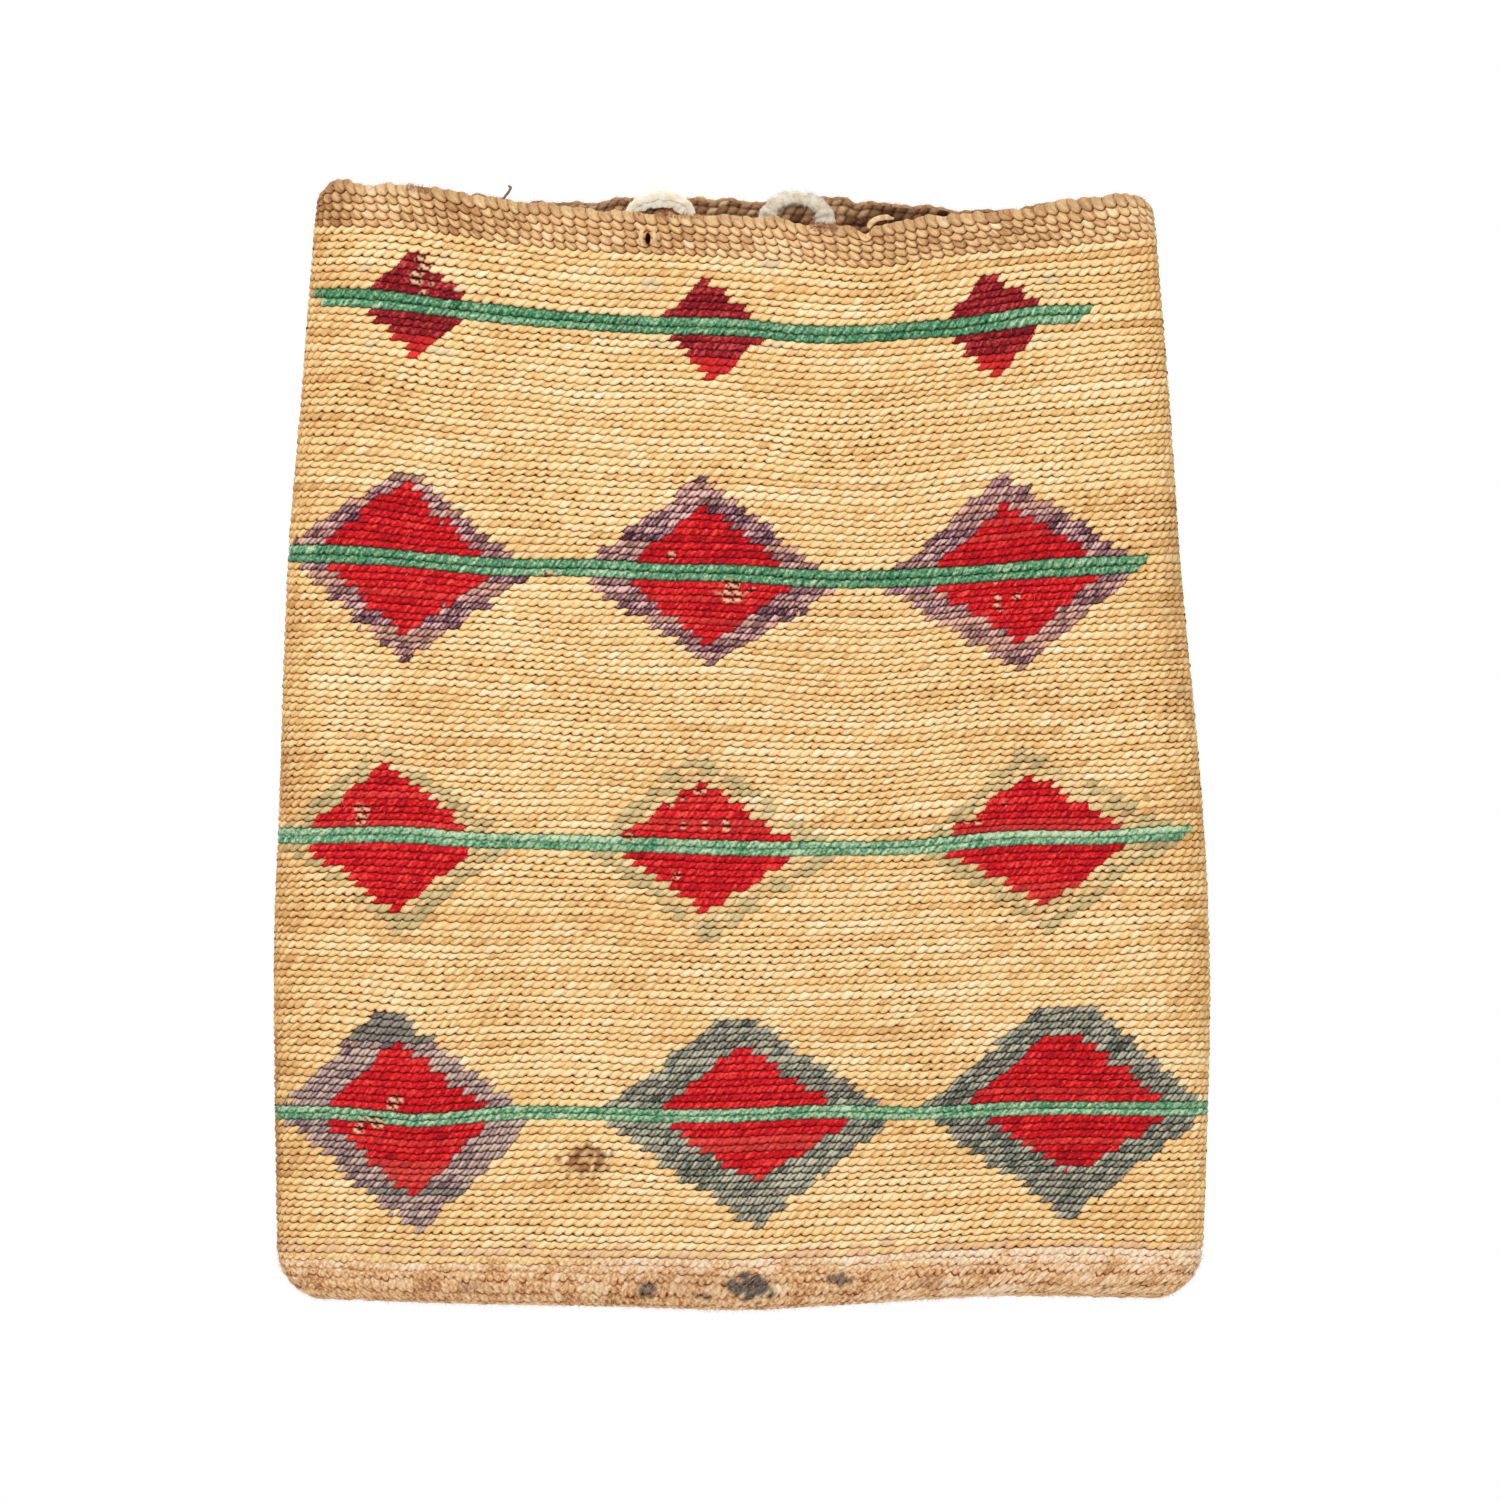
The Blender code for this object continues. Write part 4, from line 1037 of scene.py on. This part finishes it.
def hemp_stuff():
    """Dark brown twined hemp of the bag's inner face."""
    g = Graph("brown_hemp")
    fibre = g.add("ShaderNodeAttribute", attribute_name="fibre").outputs["Vector"]
    fine = g.noise(fibre, (0.4, 4.0, 1.0), 1.0, 4.0, 0.7)
    value = g.math("ADD", g.math("MULTIPLY", g.math("SUBTRACT", fine, 0.5), 0.9), g.read("tone"), True)
    colour = g.ramp(value, ((0.1, (84, 46, 26)), (0.5, (178, 132, 92)), (0.9, (234, 198, 154))))
    # painted shade in the seams between courses and stitches
    seam = g.ramp(g.read("gap"), ((0.0, WHITE), (1.0, (66, 44, 30))))
    colour = g.mix(1.0, colour, seam, "MULTIPLY")
    return g.done(colour, g.bump(fine, 0.0002, 0.8), 0.9, 0.2)


def make_inside():
    """Inner face of the bag, of plain twining, down to the bottom fold."""
    across = columns_for(INNER_STEP)
    fine_rows = np.arange(BAG_HEIGHT - LIP_DROP, BAG_HEIGHT - INNER_FINE, -INNER_ROW)
    heights = np.concatenate([fine_rows, np.linspace(fine_rows[-1], 0.002, 60)[1:]])[::-1]
    stuff = hemp_stuff()
    for front in (True, False):
        rng = np.random.default_rng(40 + front)
        mouth_x = bag_points(across[None], heights[-1:, None], front, -SHELL_WALL)[..., 0]
        raised = heights[:, None] + mouth_rise(mouth_x, heights[:, None], front)
        base = bag_points(across[None], raised, front, -SHELL_WALL)
        course = np.floor(heights / INNER_COURSE).astype(int)
        t = (heights / INNER_COURSE) % 1.0
        s = base[..., 0] / INNER_PITCH + 0.46 * course[:, None] - 0.5 * (t[:, None] - 0.5) + STITCH_ZERO
        s = s + 0.15 * cloud(base[..., 0], course[:, None] * 1.0, 0.03, 61)
        k, f = np.floor(s).astype(int), s - np.floor(s)
        edge = np.minimum(f, 1 - f)
        dome = (1 - np.abs(2 * t[:, None] - 1) ** 2.2) ** 0.7 * (1 - np.abs(2 * f - 1) ** 3) ** 0.5
        table = rng.normal(size=(int(course.max()) + 1, MOST_STITCHES))
        one = table[course[:, None], np.clip(k, 0, MOST_STITCHES - 1)]
        lift = -SHELL_WALL + FIT_GAP - INNER_RELIEF * dome
        co = bag_points(across[None], raised, front, lift)
        size = co.shape[:2]
        # painted shade in the valleys between the inner face's courses and stitches
        gap = 0.8 * bell(t[:, None], 0.15) + 0.8 * bell(edge, 0.12)
        fibre = fibre_space(base[..., 0], heights[:, None], math.radians(140), one * 9)
        tone = 0.56 + 0.14 * one + 0.10 * cloud(base[..., 0], heights[:, None], 0.02, 62)
        # painted shadow in the notch of the mouth: the inner face darker right of column 840
        tone = np.clip(tone - 0.30 * ease((base[..., 0] - px_x(840)) / 0.012), 0, 1)
        low = (np.arange(size[0] - 1)[:, None] * size[1] + np.arange(size[1] - 1)[None]).ravel()
        faces = np.stack([low, low + size[1], low + size[1] + 1, low + 1], axis=1)
        if not front:
            faces = faces[:, ::-1]
        grid = np.meshgrid(np.linspace(0, 1, size[1]), np.linspace(0, 1, size[0]))
        grid = np.stack(grid, axis=-1).reshape(-1, 2)
        data = {"tone": tone.ravel(), "gap": np.clip(gap, 0, 1).ravel(), "fibre": fibre.reshape(-1, 3)}
        name = "inner_face_front" if front else "inner_face_back"
        item = add_mesh(name, co.reshape(-1, 3), faces, stuff, None, grid, data)
        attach(item, "bag")
        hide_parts("twined_shell")


make_inside()


def hide_stuff(name, low, middle, high, nap, strength):
    """Pale smoked hide with a soft nap."""
    g = Graph(name)
    place = g.add("ShaderNodeTexCoord").outputs["Object"]
    clouds = g.noise(place, (1.0, 1.0, 1.0), 420.0, 4.0, 0.6)
    hairs = g.noise(place, (1.0, 1.0, 1.0), nap, 4.0, 0.75)
    value = g.math("ADD", g.math("MULTIPLY", clouds, 0.6), g.math("MULTIPLY", hairs, 0.4))
    colour = g.ramp(value, ((0.34, low), (0.5, middle), (0.68, high)))
    return g.done(colour, g.bump(hairs, 0.0002, strength), 0.9, 0.2)


SMOOTH_HIDE = hide_stuff("smooth_hide", (240, 220, 186), (254, 244, 222), (255, 251, 240), 1500.0, 0.4)
NAPPED_HIDE = hide_stuff("napped_hide", (202, 184, 158), (238, 226, 204), (253, 247, 234), 2400.0, 0.9)


def strap_mesh(centre, wide, face, half_wide, half_thick, power=3.2, ring=24, rough=0.0, seed=5):
    """Points, faces and map of a strap swept along a line, with a rounded oblong section."""
    count = len(centre)
    turns = np.linspace(0, 2 * math.pi, ring, endpoint=False)
    cos, sin = np.cos(turns), np.sin(turns)
    flat_x = np.sign(cos) * np.abs(cos) ** (2 / power)
    flat_y = np.sign(sin) * np.abs(sin) ** (2 / power)
    along_line = np.concatenate([[0], np.cumsum(np.linalg.norm(np.diff(centre, axis=0), axis=1))])
    wobble = rough * cloud(along_line[:, None], turns[None] * 0.001, 0.002, seed)
    x = (half_wide[:, None] + wobble) * flat_x[None]
    y = (half_thick[:, None] + 0.5 * wobble) * flat_y[None]
    co = centre[:, None] + wide[:, None] * x[..., None] + face[:, None] * y[..., None]
    co = co.reshape(-1, 3)
    index = np.arange(count * ring).reshape(count, ring)
    nxt = np.roll(index, -1, axis=1)
    sides = np.stack([index[:-1], nxt[:-1], nxt[1:], index[1:]], axis=-1).reshape(-1, 4)
    caps = []
    for end, flip in ((0, True), (count - 1, False)):
        for j in range(ring // 2 - 1):
            quad = [end * ring + j, end * ring + j + 1, end * ring + ring - 2 - j, end * ring + (ring - 1 - j)]
            caps.append(quad[::-1] if flip else quad)
    faces = np.concatenate([sides, np.array(caps)])
    u = np.repeat(along_line / along_line[-1], ring)
    v = np.tile(np.linspace(0, 1, ring), count)
    return co, faces, np.stack([u, v], axis=1)


def join_parts(parts):
    """One set of arrays from several."""
    points, faces, shift = [], [], 0
    for co, quads, _ in parts:
        points.append(co)
        faces.append(quads + shift)
        shift += len(co)
    return np.concatenate(points), np.concatenate(faces)


def loop_line(index, outward, half_wide, count=90):
    """Centre line of a loop's strap, and the direction across it at each point, in world space."""
    across_half = LOOP_HALVES[index] - half_wide + outward
    spring = 0.0012
    rise = LOOP_HEIGHT - spring - half_wide + outward
    leg = np.linspace(-THONG_THICKNESS / 2, spring, 5)[:-1]
    turns = np.linspace(0, math.pi, count)
    x = across_half * np.sign(np.cos(turns)) * np.abs(np.cos(turns)) ** 0.92
    z = spring + rise * np.sin(turns) ** 0.90
    x = np.concatenate([np.full(4, across_half), x, np.full(4, -across_half)])
    z = np.concatenate([leg, z, leg[::-1]])
    centre = np.stack([LOOP_SPACING * (index - 0.5) + x, np.zeros(len(x)), HINGE_Z + z], axis=1)
    step = unit(np.gradient(centre, axis=0))
    wide = np.stack([step[:, 2], np.zeros(len(x)), -step[:, 0]], axis=1)
    return centre, wide


def make_loop(index):
    """Hide loop. The left one is a smooth strap with a folded lap, the right one is napped."""
    count = 98
    face = np.tile([0.0, -1.0, 0.0], (count, 1))
    share = np.linspace(0, 1, count)
    top = np.sin(share * math.pi) ** 2
    thick = np.full(count, THONG_THICKNESS / 2)
    name = SIDES[index * 2]
    if index == 0:
        half = 0.0018 + 0.0005 * top - 0.0005 * (1 - ease(share / 0.2))
        centre, wide = loop_line(index, 0.0, half_wide=0.0022)
        parts = [strap_mesh(centre, wide, face, half, thick * 0.75, 3.4, 30, 0.00012, 5)]
        centre, wide = loop_line(index, 0.0009, half_wide=0.0022)
        sag = 0.00025 * np.sin(share * math.pi * 2.2)
        centre = centre + wide * sag[:, None] + np.array([0.0, -0.00034, 0.0])
        parts.append(strap_mesh(centre, wide, face, (0.0008 + 0.0005 * top), thick * 0.55, 2.6, 26, 0.00007, 6))
        stuff = SMOOTH_HIDE
    else:
        half = 0.0024 - 0.0007 * top + 0.0004 * (1 - ease(share / 0.4)) + 0.00012 * np.sin(share * 23.0)
        centre, wide = loop_line(index, 0.0, half_wide=0.0018)
        parts = [strap_mesh(centre, wide, face, half, thick, 2.3, 36, 0.00020, 7)]
        stuff = NAPPED_HIDE
    co, faces = join_parts(parts)
    item = add_mesh(f"hide_loop_{name}", co, faces, stuff)
    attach(item, f"loop_{name}")
    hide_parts(f"thong_loop_{name}")
    roots = co[len(co) // 8: -len(co) // 8]
    middle = np.array([LOOP_SPACING * (index - 0.5), 0.0, HINGE_Z + 0.003])
    outward = unit(roots - middle)
    outward[:, 1] += np.sign(roots[:, 1]) * 0.8
    lining = np.linalg.norm((roots - middle)[:, [0, 2]], axis=1) < 0.0068
    outward[lining] *= np.array([-1.0, 1.0, -1.0])
    amount, length = ((260, 0.0005), (1500, 0.0008))[index]
    nap = hairs(f"nap_{name}", roots, outward, amount, length, 0.7, 0.00003, stuff, 60 + index)
    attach(nap, f"loop_{name}")
    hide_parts(f"thong_loop_{name}")


def hairs(name, roots, outward, amount, length, spread, width, material, seed):
    """Thin bent fibres standing on a surface."""
    rng = np.random.default_rng(seed)
    chosen = rng.integers(0, len(roots), amount)
    start, way = roots[chosen], outward[chosen]
    way = unit(way + rng.normal(0, spread, way.shape))
    bend = np.cross(way, rng.normal(size=way.shape))
    side = unit(np.cross(way, bend))
    other = np.cross(way, side)
    long = length * rng.uniform(0.4, 1.6, (amount, 1))
    rings = []
    for share, thick in ((0.0, 1.0), (0.5, 0.8), (1.0, 0.25)):
        middle = start - way * width + way * long * share + bend * long * 0.35 * share * share
        for turn in (0.0, 2.094, 4.189):
            rings.append(middle + (side * math.cos(turn) + other * math.sin(turn)) * width * thick)
    co = np.stack(rings, axis=1).reshape(-1, 3)
    quads = [
        (ring * 3 + j, ring * 3 + (j + 1) % 3, ring * 3 + 3 + (j + 1) % 3, ring * 3 + 3 + j)
        for ring in (0, 1) for j in range(3)]
    faces = (np.arange(amount)[:, None, None] * 9 + np.array(quads)[None]).reshape(-1, 4)
    return add_mesh(name, co, faces, material)


def make_tie(index):
    """Strap through the back wall with its knot and two tails."""
    middle = LOOP_SPACING * (index - 0.5)
    reach = (LOOP_WIDTHS[index] - THONG_WIDTH) / 2
    bar_y = BACK_FACE_Y + FIT_GAP + THONG_THICKNESS / 2
    parts = []
    turns = np.linspace(0, math.pi / 2, 7)
    bend = 0.0009
    turned_in, turned_up = bend * (1 - np.cos(turns)), bar_y - bend * (1 - np.sin(turns))
    bar = np.linspace(-reach + bend, reach - bend, 20)[1:-1]
    x = np.concatenate([[-reach] * 4, -reach + turned_in, bar, reach - turned_in[::-1], [reach] * 4])
    leg = np.linspace(INNER_BACK_Y, bar_y - bend, 5)[:-1]
    y = np.concatenate([leg, turned_up, np.full(18, bar_y), turned_up[::-1], leg[::-1]])
    centre = np.stack([middle + x, y, np.full(len(x), HINGE_Z)], axis=1)
    step = unit(np.gradient(centre, axis=0))
    wide = np.tile([0.0, 0.0, 1.0], (len(x), 1))
    face = np.cross(wide, step)
    half = np.full(len(x), TIE_WIDTH / 2 * 0.96)
    thick = np.full(len(x), THONG_THICKNESS / 2 * 0.9)
    parts.append(strap_mesh(centre, wide, face, half, thick, 3.0, 20, 0.00006, 12))
    for turn_number, (tilt, size) in enumerate(((0.5, 1.0), (-0.55, 0.92), (0.05, 0.85))):
        angle = np.linspace(-0.4, math.pi + 0.4, 30)
        radius_x, radius_y = 0.0021 * size, 0.0019
        loop_x = radius_x * np.cos(angle)
        loop_z = 0.0011 * np.cos(angle) * tilt * 2 + (turn_number - 1) * 0.0009
        loop_y = bar_y - 0.0004 + radius_y * np.sin(angle)
        line = np.stack([middle + loop_x, loop_y, HINGE_Z + loop_z], axis=1)
        step = unit(np.gradient(line, axis=0))
        outward = np.stack([np.cos(angle), np.sin(angle), np.zeros(30)], axis=1)
        across_line = np.cross(step, outward)
        half, thick = np.full(30, 0.00105), np.full(30, 0.00048)
        parts.append(strap_mesh(line, across_line, outward, half, thick, 2.6, 18, 0.00005, 14 + turn_number))
    for number, lean in enumerate((-0.26, 0.24)):
        share = np.linspace(0, 1, 26)
        sway = lean * share + 0.10 * np.sin(share * 4 + number)
        tail_y = bar_y + 0.0004 + 0.0009 * number + 0.0005 * np.sin(share * 3)
        line = np.stack([middle + sway * 0.012, tail_y, HINGE_Z - 0.0128 * share], axis=1)
        half_wide = 0.00135 * (1 - 0.18 * share) * np.minimum(1, (1 - share) / 0.05 + 0.35)
        wide = unit(np.tile([math.cos(lean), 0.25 * lean, 0.0], (26, 1)))
        face = np.tile([0.0, 1.0, 0.0], (26, 1))
        parts.append(strap_mesh(line, -wide, face, half_wide, np.full(26, 0.00048), 3.0, 18, 0.00008, 20 + number))
    co, faces = join_parts(parts)
    name = SIDES[index * 2]
    item = add_mesh(f"hide_tie_{name}", co, faces, SMOOTH_HIDE if index == 0 else NAPPED_HIDE)
    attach(item, "bag")
    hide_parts(f"thong_tie_{name}")


for number in range(2):
    make_loop(number)
    make_tie(number)


def plain_fibre(name, dark, pale):
    """Material of loose fibres, uneven in tone."""
    g = Graph(name)
    place = g.add("ShaderNodeTexCoord").outputs["Object"]
    cells = g.noise(place, (1.0, 1.0, 1.0), 900.0, 3.0, 0.6)
    colour = g.ramp(cells, ((0.35, dark), (0.65, pale)))
    return g.done(colour, g.bump(cells, 0.0001, 0.4), 0.85)


def weave_roots(weave, zone_low, zone_high):
    """Points and normals of a weave between two heights."""
    middle = weave.height[:, weave.height.shape[1] // 2]
    rows = np.nonzero((middle >= zone_low) & (middle <= zone_high))[0]
    return weave.co[rows].reshape(-1, 3), weave.normal[rows].reshape(-1, 3)


def make_fibres():
    """Fuzz of the bottom and of the mouth, and stray fibre ends on the husk."""
    foot = plain_fibre("foot_fuzz", (196, 146, 100), (248, 218, 176))
    dusty = plain_fibre("mouth_fuzz", (120, 88, 58), (196, 162, 122))
    rust = plain_fibre("rust_fuzz", (138, 74, 42), (208, 150, 102))
    frays = ((823, 14, 0.0026, 420), (418, 12, 0.0016, 200), (668, 30, 0.0012, 300))
    for number, (column, wide, low, amount) in enumerate(frays):
        near = (np.abs(FRONT.co[..., 0] - px_x(column)) < wide * PIXEL) & (FRONT.height > BAG_HEIGHT - low)
        outward = FRONT.normal[near] * 0.7 + np.array([0.2, 0.0, 0.2])
        item = hairs(f"frayed_mouth_{number + 1}", FRONT.co[near], outward, amount, 0.0009, 0.7, 0.00007, rust,
                     70 + number)
        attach(item, "bag")
        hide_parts("rim_band")
    husk = plain_fibre("husk_ends", (196, 150, 96), (246, 222, 176))
    for side, weave in (("front", FRONT), ("back", BACK)):
        for name, low, high, amount, length, stuff, node, slot in (
            ("foot", 0.0, 0.0125, 6500, 0.0009, foot, "bottom_band", "hemp_foot"),
            ("mouth", BAG_HEIGHT - 0.0022, BAG_HEIGHT + 0.002, 900, 0.0007, dusty, "rim_band", "husk_rim"),
            ("husk", 0.02, 0.285, 1500, 0.0011, husk, "twined_shell", "husk"),
        ):
            roots, outward = weave_roots(weave, low, high)
            slope = np.array([0.9, 0.0, 1.0]) if name == "husk" else np.zeros(3)
            outward = outward * (0.35 if name == "husk" else 0.6) + slope
            item = hairs(f"fuzz_{name}_{side}", roots, outward, amount, length, 0.55, 0.00004, stuff, 80 + amount)
            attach(item, "bag")
            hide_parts(node)


# Loose strips at the mouth: name, half width, half thickness, material, and points by photo column and row and
# by millimetres in front of the loops' plane
STRIPS = (
    ("stray_end", 0.00028, 0.0002, "brown_fibre",
     ((500, 203, 7.2), (505, 197, 7.4), (509, 192, 7.6), (511, 188, 7.7), (508, 186, 7.9))),
    ("curled_end", 0.0007, 0.0003, "pale_lip",
     ((868, 229, 8.9), (871, 223, 8.7), (877, 219, 8.4), (885, 217.5, 8.0), (894, 219, 7.6))),
    ("tuft_one", 0.0006, 0.0004, "straw_fibre",
     ((690, 203, -2.4), (695, 198, -2.0), (701, 196, -2.0), (707, 199, -2.4))),
    ("tuft_two", 0.0005, 0.0004, "straw_fibre",
     ((694, 204, -2.3), (699, 199, -1.6), (704, 200, -1.8), (706, 205, -2.2))),
    ("slit_lip_left", 0.0005, 0.0003, "pale_lip",
     ((643, 229, 9.9), (641, 235, 10.3), (641, 241, 10.3), (643, 247, 10.0))),
    ("slit_lip_right", 0.0005, 0.0003, "pale_lip",
     ((652, 230, 10.0), (655, 236, 10.4), (655, 242, 10.4), (653, 247, 10.1))),
)
STRIP_TONES = {
    "brown_fibre": ((104, 72, 44), (150, 112, 74)), "straw_fibre": ((206, 160, 96), (244, 216, 160)),
    "pale_lip": ((200, 158, 108), (240, 206, 158)),
}


def make_strips():
    """Stray strips and fibres that show at the mouth."""
    stuffs = {name: plain_fibre(name, *tones) for name, tones in STRIP_TONES.items()}
    for name, half, thick, stuff, points in STRIPS:
        points = np.array(points)
        share = np.linspace(0, len(points) - 1, 8 * len(points))
        line = np.stack([np.interp(share, np.arange(len(points)), points[:, i]) for i in range(3)], axis=1)
        for _ in range(6):
            line[1:-1] = (line[:-2] + 2 * line[1:-1] + line[2:]) / 4
        centre = np.stack([px_x(line[:, 0]), -line[:, 2] / 1000, px_z(line[:, 1])], axis=1)
        step = unit(np.gradient(centre, axis=0))
        face = np.tile([0.0, -1.0, 0.0], (len(centre), 1))
        wide = unit(np.cross(step, face))
        taper = np.minimum(1.0, np.minimum(share + 0.5, share[-1] - share + 0.3))
        co, faces, maps = strap_mesh(centre, wide, face, half * taper, thick * taper, 2.2, 14, 0.00006, 33)
        item = add_mesh(name, co, faces, stuffs[stuff], None, maps)
        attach(item, "bag")
        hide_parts("rim_band")


make_fibres()
make_strips()


FLOOR_Z = -0.385
FLOOR_HALF = 6.0
WHITE_FROM, WHITE_TO = 0.12, 0.36
WORLD_LIGHT = 0.34
AIM = Vector((0.0, 0.0, -0.15))
LAMPS = (
    ("key", (-0.85, -1.25, 1.25), 0.8, 25.0), ("fill", (1.2, -1.2, 0.2), 1.2, 6.0),
    ("rear", (0.4, 1.5, 0.8), 1.2, 18.0), ("top", (0.0, -0.1, 1.4), 1.0, 4.0),
)
PHOTO_SIZE = 1500
CAMERA_DISTANCE = 2.5
FRONT_PLANE = 0.006
SENSOR = 36.0


def make_floor():
    """Pale floor under the hanging bag, white at a distance."""
    corners = [(x * FLOOR_HALF, y * FLOOR_HALF, FLOOR_Z) for x, y in ((-1, -1), (1, -1), (1, 1), (-1, 1))]
    mesh = bpy.data.meshes.new("floor")
    mesh.from_pydata(corners, [], [(0, 1, 2, 3)])
    floor = link(bpy.data.objects.new("floor", mesh))
    g = Graph("pale_floor")
    g.tree.nodes.remove(g.shader)
    place = g.add("ShaderNodeNewGeometry").outputs["Position"]
    flat = g.add("ShaderNodeVectorMath", {0: place, 1: (1.0, 1.0, 0.0)}, operation="MULTIPLY").outputs[0]
    far = g.add("ShaderNodeVectorMath", {0: flat}, operation="LENGTH").outputs["Value"]
    share = g.add("ShaderNodeMapRange", {"Value": far, "From Min": WHITE_FROM, "From Max": WHITE_TO}).outputs[0]
    share = g.math("MULTIPLY", share, g.seen())
    matt = g.add("ShaderNodeBsdfDiffuse", {"Color": (0.86, 0.86, 0.86, 1.0)}).outputs[0]
    white = g.add("ShaderNodeEmission", {"Color": (1.0, 1.0, 1.0, 1.0), "Strength": 1.0}).outputs[0]
    mixed = g.add("ShaderNodeMixShader", {0: share, 1: matt, 2: white}).outputs[0]
    output = next(node for node in g.tree.nodes if node.type == "OUTPUT_MATERIAL")
    g.tree.links.new(mixed, output.inputs["Surface"])
    mesh.materials.append(g.material)


def make_light():
    """Soft studio light, and a world that the camera sees white."""
    for name, place, width, power in LAMPS:
        light = bpy.data.lights.new(name, "AREA")
        light.size, light.energy = width, power
        lamp = link(bpy.data.objects.new(name, light))
        lamp.location = place
        lamp.rotation_euler = (AIM - Vector(place)).to_track_quat("-Z", "Y").to_euler()
    world = bpy.data.worlds.new("studio")
    bpy.context.scene.world = world
    g = Graph("studio", world)
    level = g.add("ShaderNodeMapRange", {"Value": g.seen(), "To Min": WORLD_LIGHT, "To Max": 1.0}).outputs[0]
    g.fill(g.tree.nodes["Background"], {"Color": (1.0, 1.0, 1.0, 1.0), "Strength": level})


def make_camera():
    """Long lens straight at the front, as in the photograph."""
    data = bpy.data.cameras.new("camera")
    data.sensor_width = SENSOR
    data.lens = SENSOR * (CAMERA_DISTANCE - FRONT_PLANE) / (PHOTO_SIZE * PIXEL)
    camera = link(bpy.data.objects.new("camera", data))
    camera.location = (px_x(PHOTO_SIZE / 2), -CAMERA_DISTANCE, px_z(PHOTO_SIZE / 2))
    camera.rotation_euler = (math.radians(90), 0.0, 0.0)
    bpy.context.scene.camera = camera


make_floor()
make_light()
make_camera()
bpy.context.scene.view_settings.view_transform = "Standard"
